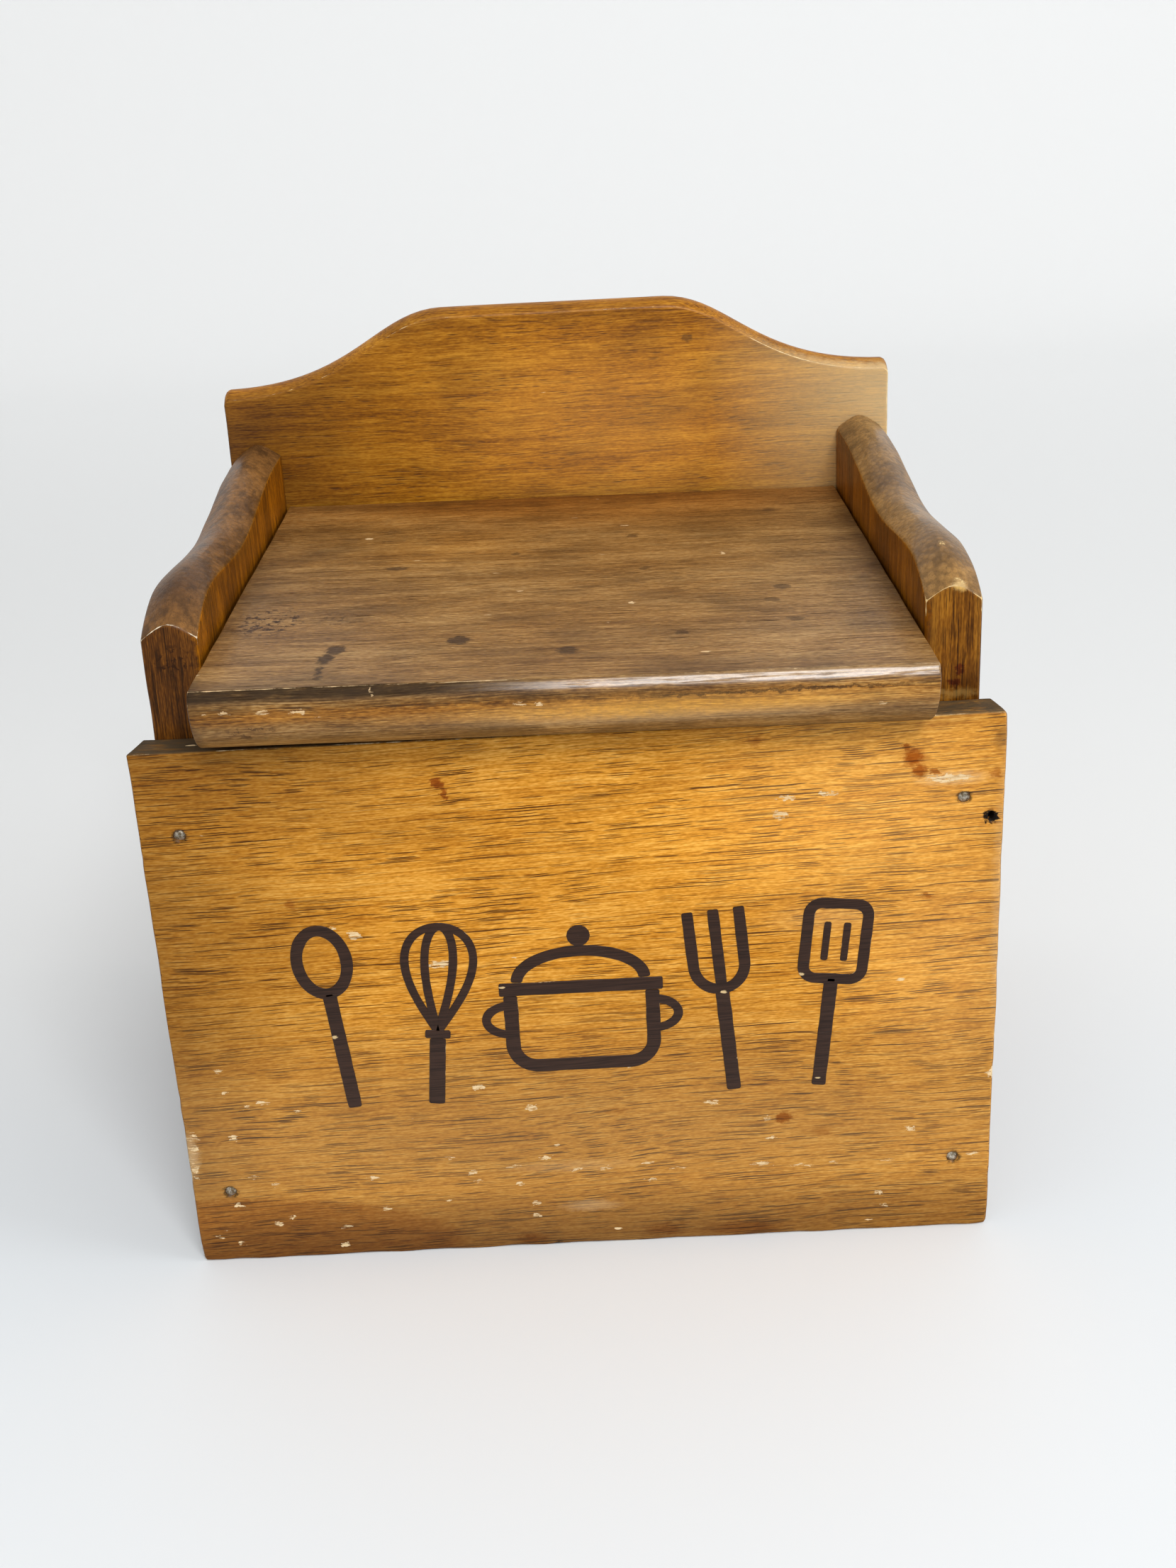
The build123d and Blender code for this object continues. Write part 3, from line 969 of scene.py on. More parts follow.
@dataclass
class Board:
    """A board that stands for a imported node: a block of lattice points, eased, seated and shaped."""

    node: str
    slot: str
    finish: WoodFinish
    body: Body = Body.CASE
    pitch: float = 2.4
    arris: float = 0.45
    arris_play: float = 0.35
    unevenness: float = 0.05
    seed: int = 1
    seats: list[Seat] = field(default_factory=list)
    nicks: list[Nick] = field(default_factory=list)

    FAN: ClassVar[int] = 5                               # facets of an eased arris
    SHOULDER: ClassVar[tuple[float, ...]] = (1.35, 2.2)  # two more places past each fan, in radii
    CLOSEST: ClassVar[float] = 0.02                      # the least gap between two places
    THINNEST: ClassVar[float] = 0.08                     # the least rounding

    def block(self) -> tuple[Array, Array]:
        """The plain block that the board is cut from."""
        return node_box(self.node)

    def fans(self) -> tuple[tuple[float, float], ...]:
        """The rounding that the ticks allow for at the low and high end of each axis."""
        return ((self.arris, self.arris),) * 3

    def extra_ticks(self, axis: int) -> Array:
        """More places along an axis that the board's own shape needs."""
        return np.array([])

    def ticks(self, axis: int) -> Array:
        """Places along an axis: even ones, a fan at each end and those that seats ask for.

        The fan's places are r * (1 - tan(angle)) from the end for even angles up to 45 degrees, so
        that the eased arris has even facets.
        """
        low, high = (corner[axis] for corner in self.block())
        low_fan, high_fan = self.fans()[axis]
        slant = np.tan(np.linspace(0, math.pi / 4, self.FAN + 1))
        start = low + low_fan * np.concatenate([1 - slant, self.SHOULDER])
        end = high - high_fan * np.concatenate([1 - slant, self.SHOULDER])
        count = max(2, round((high - low) / self.pitch))
        even = np.linspace(low, high, count + 1)
        even = even[(even > start.max() + 0.4 * self.pitch) & (even < end.min() - 0.4 * self.pitch)]
        wanted = [seat.ticks(axis) for seat in self.seats if seat.axis != axis]
        wanted.append(self.extra_ticks(axis))
        special = np.concatenate(wanted)
        special = special[(special > start.max() + self.CLOSEST) & (special < end.min() - self.CLOSEST)]
        if len(special):
            gaps = np.abs(even[:, None] - special[None, :]).min(1)
            even = even[gaps > 0.3 * self.pitch]
        places = np.unique(np.round(np.concatenate([start, end, even, special]), 4))
        keep = np.concatenate([[True], np.diff(places) > self.CLOSEST])
        return places[keep]

    def radius(self, points: Array) -> Array:
        """The rounding near each point: uneven along the arrises and larger at nicks."""
        radius = self.arris * (1 + self.arris_play * ripples(points, 14.0, self.seed))
        for nick in self.nicks:
            away = np.linalg.norm(points - np.array(nick.at), axis=1)
            radius = radius + nick.depth * np.exp(-((away / nick.reach) ** 2))
        return np.maximum(radius, self.THINNEST)

    def shape(self, points: Array) -> Array:
        """Bends the plain block into the board. A plain board stays as it is."""
        return points

    def wear(self, points: Array) -> Array:
        """How much more or less than usual the arrises are rubbed."""
        return np.ones(len(points))

    def coats(self, points: Array) -> dict[str, Array]:
        """1 where the wood was never varnished (inside), is glossiest (polish) or has grime and painted shade
        (grime_and_shade).
        """
        return {name: np.zeros(len(points)) for name in ("inside", "polish", "grime_and_shade")}

    def build(self) -> bpy.types.Object:
        """Makes the board's mesh, dresses it and sets it in the frame."""
        low, high = self.block()
        lattice, quads = block_surface([self.ticks(axis) for axis in range(3)])
        points, outward = ease_block(lattice, low, high, self.radius(lattice))
        flatness = np.abs(outward).max(1)
        # On the backboard, the extra rub at the right shoulder paints a highlight.
        arris = np.clip((1 - flatness) / (1 - math.sqrt(0.5)), 0, 1) * self.wear(points)
        reach = np.sort(np.minimum(lattice - low, high - lattice), axis=1)[:, 1]
        hollow = 0.5 + 0.5 * np.clip(ripples(lattice, 30.0, self.seed + 50), -1, 1)
        points -= outward * (self.unevenness * hollow)[:, None]
        for seat in self.seats:
            centre = np.array(seat.centre)
            before = 2 * centre - self.shape(centre[None, :])[0]
            points = seat.press(points, before)
        layers = {"arris": arris, "inset": reach, **self.coats(points),
                  "end": ramp(np.abs(outward[:, self.finish.grain.way.value]), 0.45, 0.85)}
        made = mesh_object(f"{self.node}_wood", self.shape(points), quads.tolist(), layers)
        made.data.materials.append(self.finish.material())
        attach(made, self.body.value)
        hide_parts(self.node)
        LOG.info("%s: %d faces", made.name, len(quads))
        return made


@dataclass
class FrontPanel(Board):
    """The wide front board, whose ends slope in towards the back."""

    end_relief: float = 1.8
    relief_run: float = 14.0

    def shape(self, points: Array) -> Array:
        """x moves in by relief * depth share, over the last run of each end."""
        low, high = self.block()
        back = (points[:, 1] - low[1]) / (high[1] - low[1])
        near_end = np.clip((np.abs(points[:, 0]) - high[0] + self.relief_run) / self.relief_run, 0, 1)
        shaped = points.copy()
        shaped[:, 0] -= np.sign(points[:, 0]) * self.end_relief * back * near_end
        return shaped

    def coats(self, points: Array) -> dict[str, Array]:
        """Bare on the back face, in the card compartment; grime and, under the lid, painted shade on the top
        edge.
        """
        back, top = self.block()[1][1:]
        return {**super().coats(points), "inside": ramp(points[:, 1], back - 0.6, back - 0.2),
                "grime_and_shade": ramp(points[:, 2], top - 0.45, top - 0.1)}


@dataclass
class SideBoard(Board):
    """A side board whose top is a scrolled arm with a rounded crown."""

    sign: int = 1
    case_height: float = 118.2
    line_places: tuple[float, ...] = (0.0, 26.0, 60.0, 96.0, 122.1)
    line_rises: tuple[float, ...] = (20.0, 25.3, 23.3, 27.8, 28.8)
    front_slope: float = math.tan(math.radians(34.0))
    crown: float = 3.1
    crown_softness: float = 2.5
    bend_from: float = 96.0

    def block(self) -> tuple[Array, Array]:
        """The node's box, up to the top line's highest place."""
        low, high = node_box(self.node)
        return low, np.array([high[0], high[1], self.case_height + self.line_rises[-1]])

    def top_line(self, y: Array) -> Array:
        """Height of the arm's long edges at a depth.

        A cubic spline through the rises: its slopes m solve the usual three-term equations, with
        the front slope given and the back level, and each stretch is the Hermite cubic of them.
        """
        place = np.array(self.line_places)
        rise = np.array(self.line_rises)
        width = np.diff(place)
        chord = np.diff(rise) / width
        count = len(place)
        system = np.eye(count)
        wanted = np.zeros(count)
        wanted[0] = self.front_slope
        inner = np.arange(1, count - 1)
        system[inner, inner - 1] = width[1:]
        system[inner, inner] = 2 * (width[:-1] + width[1:])
        system[inner, inner + 1] = width[:-1]
        wanted[inner] = 3 * (width[1:] * chord[:-1] + width[:-1] * chord[1:])
        slope = np.linalg.solve(system, wanted)
        along = np.clip(y - self.block()[0][1], 0, place[-1])
        index = np.clip(np.searchsorted(place, along, side="right") - 1, 0, count - 2)
        t = (along - place[index]) / width[index]
        start = rise[index] * (1 + 2 * t) * (1 - t) ** 2 + slope[index] * width[index] * t * (1 - t) ** 2
        end = rise[index + 1] * t * t * (3 - 2 * t) - slope[index + 1] * width[index] * t * t * (1 - t)
        return self.case_height + start + end

    def crown_rise(self, x: Array) -> Array:
        """The crown above its long edges: a hyperbola, near straight at the edges and round on top."""
        low, high = self.block()
        half = (high[0] - low[0]) / 2
        across = np.clip(np.abs(x - (low[0] + high[0]) / 2), 0, half)
        soft = self.crown_softness
        fall = (np.hypot(across, soft) - soft) / (math.hypot(half, soft) - soft)
        return self.crown * (1 - fall)

    def shape(self, points: Array) -> Array:
        """z moves to the top line and crown at the block's top, less below it, and not at all low down."""
        top = self.block()[1][2]
        weight = np.clip((points[:, 2] - self.bend_from) / (top - self.bend_from), 0, 1)
        shaped = points.copy()
        shaped[:, 2] += weight * (self.top_line(points[:, 1]) + self.crown_rise(points[:, 0]) - top)
        return shaped

    def extra_ticks(self, axis: int) -> Array:
        """Closer places across the crown."""
        low, high = self.block()
        return np.linspace(low[0] + 1.4, high[0] - 1.4, 9) if axis == 0 else np.array([])

    def wear(self, points: Array) -> Array:
        """The front arch is rubbed most, the long edges of the crown least."""
        low, high = self.block()
        front = ramp(points[:, 1], low[1] + 2.5, low[1] + 0.8)
        return 0.5 + 0.5 * front * ramp(points[:, 2], high[2] - 5.0, high[2] - 2.5)

    def coats(self, points: Array) -> dict[str, Array]:
        """Bare on the inner face below the lid."""
        face = self.block()[0][0] if self.sign > 0 else self.block()[1][0]
        near = ramp(np.abs(points[:, 0] - face), 0.6, 0.2)
        low_down = ramp(points[:, 2], self.case_height + 1.5, self.case_height - 1.5)
        return {**super().coats(points), "inside": near * low_down}


@dataclass
class Backboard(Board):
    """The tall back board with coved shoulders and a crowned top."""

    case_height: float = 118.2
    end_rise: float = 43.1
    peak_rise: float = 60.7
    flat: float = 54.0
    round_pull: float = 17.0
    cove_pull: float = 33.0
    crown: float = 2.0
    corner: float = 1.7
    bend_from: float = 120.0

    def block(self) -> tuple[Array, Array]:
        """The node's box, up to the level middle of the front top edge."""
        low, high = node_box(self.node)
        return low, np.array([high[0], high[1], self.case_height + self.peak_rise])

    def fans(self) -> tuple[tuple[float, float], ...]:
        """Wider fans at the ends, whose top corners are rounded off."""
        return ((self.corner, self.corner), (self.arris, self.arris), (self.arris, self.arris))

    def outline(self, x: Array) -> Array:
        """Height of the top edge: level, then a cubic Bezier shoulder down to each end's rounded corner."""
        half = self.block()[1][0]
        t = np.linspace(0, 1, 161)
        weights = [(1 - t) ** 3, 3 * t * (1 - t) ** 2, 3 * t * t * (1 - t), t ** 3]
        across = [self.flat / 2, self.flat / 2 + self.round_pull, half - self.cove_pull, half]
        heights = [self.peak_rise, self.peak_rise, self.end_rise, self.end_rise]
        curve_x = sum(w * a for w, a in zip(weights, across))
        curve_z = sum(w * h for w, h in zip(weights, heights))
        height = np.interp(np.abs(x), curve_x, curve_z)
        past = np.clip(np.abs(x) - (half - self.corner), 0, self.corner)
        return self.case_height + height - (self.corner - np.sqrt(self.corner ** 2 - past ** 2))

    def shape(self, points: Array) -> Array:
        """z moves to the outline and the crown at the block's top, and not at all low down."""
        low, high = self.block()
        across = np.abs(points[:, 1] - (low[1] + high[1]) / 2) / ((high[1] - low[1]) / 2)
        crown = self.crown * (1 - np.clip(across, 0, 1) ** 2.2)
        weight = np.clip((points[:, 2] - self.bend_from) / (high[2] - self.bend_from), 0, 1)
        shaped = points.copy()
        shaped[:, 2] += weight * (self.outline(points[:, 0]) + crown - high[2])
        return shaped

    def extra_ticks(self, axis: int) -> Array:
        """Closer places across the crown."""
        low, high = self.block()
        return np.linspace(low[1] + 1.3, high[1] - 1.3, 7) if axis == 1 else np.array([])

    def wear(self, points: Array) -> Array:
        """The right shoulder is rubbed most, which paints a highlight along it."""
        return 0.9 + 0.35 * ramp(points[:, 0], 30.0, 55.0)

    def coats(self, points: Array) -> dict[str, Array]:
        """Bare on the front face below the lid."""
        face = self.block()[0][1]
        low_down = ramp(points[:, 2], self.case_height + 1.5, self.case_height - 1.5)
        return {**super().coats(points), "inside": ramp(points[:, 1], face + 0.6, face + 0.2) * low_down}


@dataclass
class BottomBoard(Board):
    """The floor of the card compartment."""

    def coats(self, points: Array) -> dict[str, Array]:
        """Bare all over."""
        return {**super().coats(points), "inside": np.ones(len(points))}


@dataclass
class Lid(Board):
    """The lid: a flat board with a bevelled, rounded nose, lying a little higher at its left end."""

    tilt: float = math.radians(0.65)
    half_width: float = 69.1
    bottom: float = 119.234
    thickness: float = 14.2
    bevel_height: float = 2.4
    bevel_depth: float = 1.7
    bevel_run: float = 13.0
    back_round: float = 1.2

    def block(self) -> tuple[Array, Array]:
        """The level board before it is tilted."""
        low, high = node_box(self.node)
        return (np.array([-self.half_width, low[1], self.bottom]),
                np.array([self.half_width, high[1], self.bottom + self.thickness]))

    def fans(self) -> tuple[tuple[float, float], ...]:
        """Ordinary arrises, but for the eased back edge."""
        return ((self.arris, self.arris), (self.arris, self.back_round), (self.arris, self.back_round))

    def extra_ticks(self, axis: int) -> Array:
        """The nose's fan, r * (1 - tan(angle)) from the front and from the bottom, and the bevel."""
        low, high = self.block()
        nose = self.thickness - self.bevel_height
        fan = nose * (1 - np.tan(np.linspace(0, math.pi / 4, 15)))
        if axis == 1:
            return low[1] + np.concatenate([fan, [nose + 1.2]])
        if axis == 2:
            bevel = high[2] - self.bevel_height * np.array([1.3, 1.15, 1.0, 0.85, 0.7, 0.4])
            return np.concatenate([low[2] + fan[fan > 0.5], bevel])
        return np.array([])

    def radius(self, points: Array) -> Array:
        """Sharp where the nose takes over from the arris, and rounder along the top's back edge."""
        low, high = self.block()
        radius = super().radius(points)
        nose = self.thickness - self.bevel_height
        corner = ramp(points[:, 1], low[1] + nose, low[1] + 0.6 * nose)
        corner = corner * ramp(points[:, 2], low[2] + nose, low[2] + 0.6 * nose)
        back = ramp(points[:, 1], high[1] - 3, high[1] - 2) * ramp(points[:, 2], high[2] - 3, high[2] - 2)
        end = ramp(np.abs(points[:, 0]), high[0] - 1.5, high[0] - 0.5)
        radius = radius * (1 - 0.85 * corner * (1 - end))
        return radius + (self.back_round - radius) * back * (1 - end)

    def shape(self, points: Array) -> Array:
        """Rounds the nose, leans the bevel back and tilts the board.

        In the nose's square d is measured from its round's centre and c is d's larger part: squares
        become circles by d * c / |d|. The bevel moves y back by its depth times its height share.
        The tilt turns x and z about the middle of the bottom.
        """
        low, high = self.block()
        nose = self.thickness - self.bevel_height
        centre = np.array([low[1] + nose, low[2] + nose])
        offset = np.minimum(points[:, 1:] - centre, 0)
        both = (offset < 0).all(1)
        square = np.abs(offset).max(1)
        length = np.maximum(np.hypot(*offset.T), 1e-9)
        shaped = points.copy()
        shaped[both, 1:] = (centre + offset * (square / length)[:, None])[both]
        share = (points[:, 2] - (high[2] - self.bevel_height)) / self.bevel_height
        soft = 0.12
        share = (share + np.hypot(share, soft)) / 2 / ((1 + math.hypot(1, soft)) / 2)
        share = np.where(points[:, 2] > high[2] - 2 * self.bevel_height, share, 0)
        front = ramp(points[:, 1], low[1] + self.bevel_run, low[1] + 2.0)
        shaped[:, 1] += self.bevel_depth * share * front
        x, z = shaped[:, 0].copy(), shaped[:, 2] - self.bottom
        shaped[:, 0] = x * math.cos(self.tilt) + z * math.sin(self.tilt)
        shaped[:, 2] = self.bottom + z * math.cos(self.tilt) - x * math.sin(self.tilt)
        return shaped

    def wear(self, points: Array) -> Array:
        """The top front edge is rubbed most, above all at the left."""
        low, high = self.block()
        edge = ramp(points[:, 1], low[1] + 0.8, low[1] + 0.4)
        edge *= ramp(points[:, 2], high[2] - 0.8, high[2] - 0.4)
        return 1 + edge * (0.25 + 0.55 * ramp(points[:, 0], 10.0, -20.0))

    def bevel(self, points: Array) -> Array:
        """1 on the bevel's face."""
        low, high = self.block()
        start = high[2] - self.bevel_height
        return ramp(points[:, 2], start - 0.3, start + 0.3) * ramp(points[:, 1], low[1] + 0.3, low[1] + 0.12)

    def coats(self, points: Array) -> dict[str, Array]:
        """Glossy on the bevel's right half, darker on its left, painted shade under the nose, and bare behind
        that.
        """
        x, y, z = points.T
        low, bevel = self.block()[0], self.bevel(points)
        # Painted shade on the nose's underside, by the gap over the panel.
        under = 0.8 * ramp(z, low[2] + 1.2, low[2] + 0.2) * ramp(y, low[1] + 4.0, low[1] + 10.0)
        left = ramp(x, 6.0, -26.0) + 0.12 * ramp(x, -22.0, 4.0)
        return {"inside": ramp(z, low[2] + 0.6, low[2] + 0.2) * ramp(y, low[1] + 16, low[1] + 22),
                "polish": bevel * ramp(x, -30.0, 0.0),
                "grime_and_shade": np.maximum(bevel * np.clip(left, 0, 1), under)}


# ---- Nails and pins -------------------------------------------------------------------------------


@dataclass(frozen=True)
class NailShape:
    """A round wire nail with a low domed head, turned from its outline."""

    length: float
    radius: float = 0.8
    head_radius: float = 1.25
    head_height: float = 0.8
    dome: float = 0.28
    rim: float = 0.12
    point: float = 2.5
    turns: int = 28

    def outline(self) -> Array:
        """Radius and depth from the head's middle to the tip.

        The dome falls by dome * share^2.4 to its rim, the rim is rounded, and the shank ends in
        a straight point.
        """
        share = np.linspace(0, 1, 9)
        flat = self.head_radius - self.rim
        top = np.stack([share * flat, -self.dome * share ** 2.4], axis=-1)
        angle = np.linspace(0, math.pi / 2, 5)[1:]
        rim = np.stack([flat + self.rim * np.sin(angle),
                        -self.dome - self.rim * (1 - np.cos(angle))], axis=-1)
        shank = np.array([(self.head_radius, -self.head_height), (self.radius, -self.head_height),
                          (self.radius, self.point - self.length), (0.0, -self.length)])
        return np.concatenate([top, rim, shank])

    def mesh(self, seed: int) -> tuple[Array, list, Array]:
        """The turned nail, head up: point = (r cos a, r sin a, depth), with hammer marks on the dome.

        Args:
            seed: picks this nail's hammer marks.

        Returns:
            Points, faces and how close each point is to the head's rim.
        """
        outline = self.outline()
        middle = outline[1:-1]
        angle = np.linspace(0, 2 * math.pi, self.turns, endpoint=False)
        rings = np.stack([middle[:, None, 0] * np.cos(angle), middle[:, None, 0] * np.sin(angle),
                          np.broadcast_to(middle[:, None, 1], (len(middle), self.turns))], axis=-1)
        points = rings.reshape(-1, 3)
        on_head = points[:, 2] > -self.head_height + 0.05
        marks = np.clip(ripples(points[:, :2] + seed * 3.7, 1.6, seed), 0, 1)
        points[:, 2] -= 0.16 * marks * on_head
        tip = len(points) + 1
        points = np.concatenate([points, [(0.0, 0.0, -0.02), (0.0, 0.0, -self.length)]])
        quads = tube_quads(len(middle), self.turns, closed=False).tolist()
        around = np.arange(self.turns)
        following = np.roll(around, -1)
        last = (len(middle) - 1) * self.turns
        crown = np.stack([np.full(self.turns, tip - 1), around, following], axis=-1)
        point = np.stack([np.full(self.turns, tip), last + following, last + around], axis=-1)
        reach = np.hypot(points[:, 0], points[:, 1]) / self.head_radius
        return points, quads + crown.tolist() + point.tolist(), ramp(reach, 0.8, 0.98)


@dataclass
class NailGroup:
    """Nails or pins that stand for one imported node."""

    node: str
    slot: str
    shape: NailShape
    places: list[Point]
    axis: int
    finish: SteelFinish
    seed: int = 1

    def turned(self, points: Array, sign: float) -> Array:
        """Points with the head's way turned from +Z to the outward way along the group's axis."""
        outward = np.zeros(3)
        outward[self.axis] = sign
        up = np.array([0.0, 0.0, 1.0])
        side = np.cross(up, outward)
        return points @ np.stack([side, np.cross(outward, side), outward])

    def build(self) -> bpy.types.Object:
        """Makes all the group's nails as one mesh."""
        parts = MeshParts()
        for number, place in enumerate(self.places):
            points, faces, rim = self.shape.mesh(self.seed * 10 + number)
            sign = math.copysign(1.0, place[self.axis])
            parts.add(self.turned(points, sign) + np.array(place), faces, rim)
        made = parts.made(f"{self.node}_steel", "rim")
        made.data.materials.append(self.finish.material())
        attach(made, Body.CASE.value)
        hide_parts(self.node)
        LOG.info("%s: %d of them", made.name, len(self.places))
        return made


# ---- The print on the panel -----------------------------------------------------------------------


@dataclass(frozen=True)
class Stroke:
    """One brush-wide line of the print, in the panel's x and z."""

    line: Array
    width: float
    closed: bool = False
    thickness: float = 0.14

    SPACING: ClassVar[float] = 0.55
    CORNER: ClassVar[float] = 0.4
    FACETS: ClassVar[int] = 18

    def resampled(self) -> tuple[Array, Array]:
        """The line at even steps, with close steps by its open ends, and the distance along it."""
        line = np.concatenate([self.line, self.line[:1]]) if self.closed else self.line
        reach = np.concatenate([[0], np.cumsum(np.linalg.norm(np.diff(line, axis=0), axis=1))])
        total = reach[-1]
        count = max(6, round(total / self.SPACING))
        if self.closed:
            along = np.linspace(0, total, count, endpoint=False)
        else:
            near = self.CORNER * (1 - np.cos(np.linspace(0, math.pi / 2, 5)))
            middle = np.linspace(2 * self.CORNER, total - 2 * self.CORNER, count)
            along = np.concatenate([near, middle, total - near[::-1]])
        even = np.stack([np.interp(along, reach, line[:, axis]) for axis in (0, 1)], axis=-1)
        return even, along

    def mesh(self, y_face: float) -> tuple[Array, list, Array]:
        """A low ribbon: a flat ring with rounded sides, carried along the line.

        The ring is u = cos a and v = sin a, each to the power 0.4 with its sign kept, and its lower
        half is sunk in the wood. At an open end the half width is less by c - sqrt(c^2 - (c - s)^2)
        for a corner c and a distance s along the line.

        Args:
            y_face: where the panel's front face is.

        Returns:
            Points, faces and how close each point is to the ribbon's rim.
        """
        line, along = self.resampled()
        path = np.stack([line[:, 0], np.full(len(line), y_face), line[:, 1]], axis=-1)
        ahead = np.gradient(path, axis=0)
        if self.closed:
            ahead = np.roll(path, -1, axis=0) - np.roll(path, 1, axis=0)
        ahead /= np.linalg.norm(ahead, axis=1, keepdims=True)
        outward = np.array([0.0, -1.0, 0.0])
        across = np.cross(ahead, outward)
        half = self.width / 2 * (1 + 0.03 * ripples(path, 4.0, int(abs(self.line[0].sum()) * 10) + 3))
        if not self.closed:
            short = np.clip(self.CORNER - np.minimum(along, along[-1] - along), 0, self.CORNER)
            half = half - (self.CORNER - np.sqrt(self.CORNER ** 2 - short ** 2))
        angle = np.linspace(0, 2 * math.pi, self.FACETS, endpoint=False)
        round_side = np.stack([np.cos(angle), np.sin(angle)], axis=-1)
        ring = np.sign(round_side) * np.abs(round_side) ** 0.4 * np.array([1.0, self.thickness])
        points = carry_ring(path, across, outward, ring, half)
        rim = np.broadcast_to(np.abs(ring[:, 0]) ** 6, (len(path), len(ring)))
        faces = tube_quads(len(path), len(ring), self.closed).tolist()
        if not self.closed:
            first = np.arange(len(ring))
            faces += [first[::-1].tolist(), (first + (len(path) - 1) * len(ring)).tolist()]
        return points.reshape(-1, 3), faces, rim.reshape(-1)


def straight(start: tuple[float, float], end: tuple[float, float], spacing: float = 0.5) -> Array:
    """Even points from one place to another."""
    first, last = np.array(start, float), np.array(end, float)
    count = max(8, int(np.linalg.norm(last - first) / spacing))
    return first + (last - first) * np.linspace(0, 1, count)[:, None]


def oval(centre: tuple[float, float], radii: tuple[float, float], start: float, end: float,
         closed: bool = False, count: int = 48) -> Array:
    """Points round an oval: centre + (a cos t, b sin t), from one angle to another in degrees."""
    angle = np.radians(np.linspace(start, end, count, endpoint=not closed))
    return np.array(centre) + np.stack([radii[0] * np.cos(angle), radii[1] * np.sin(angle)], axis=-1)


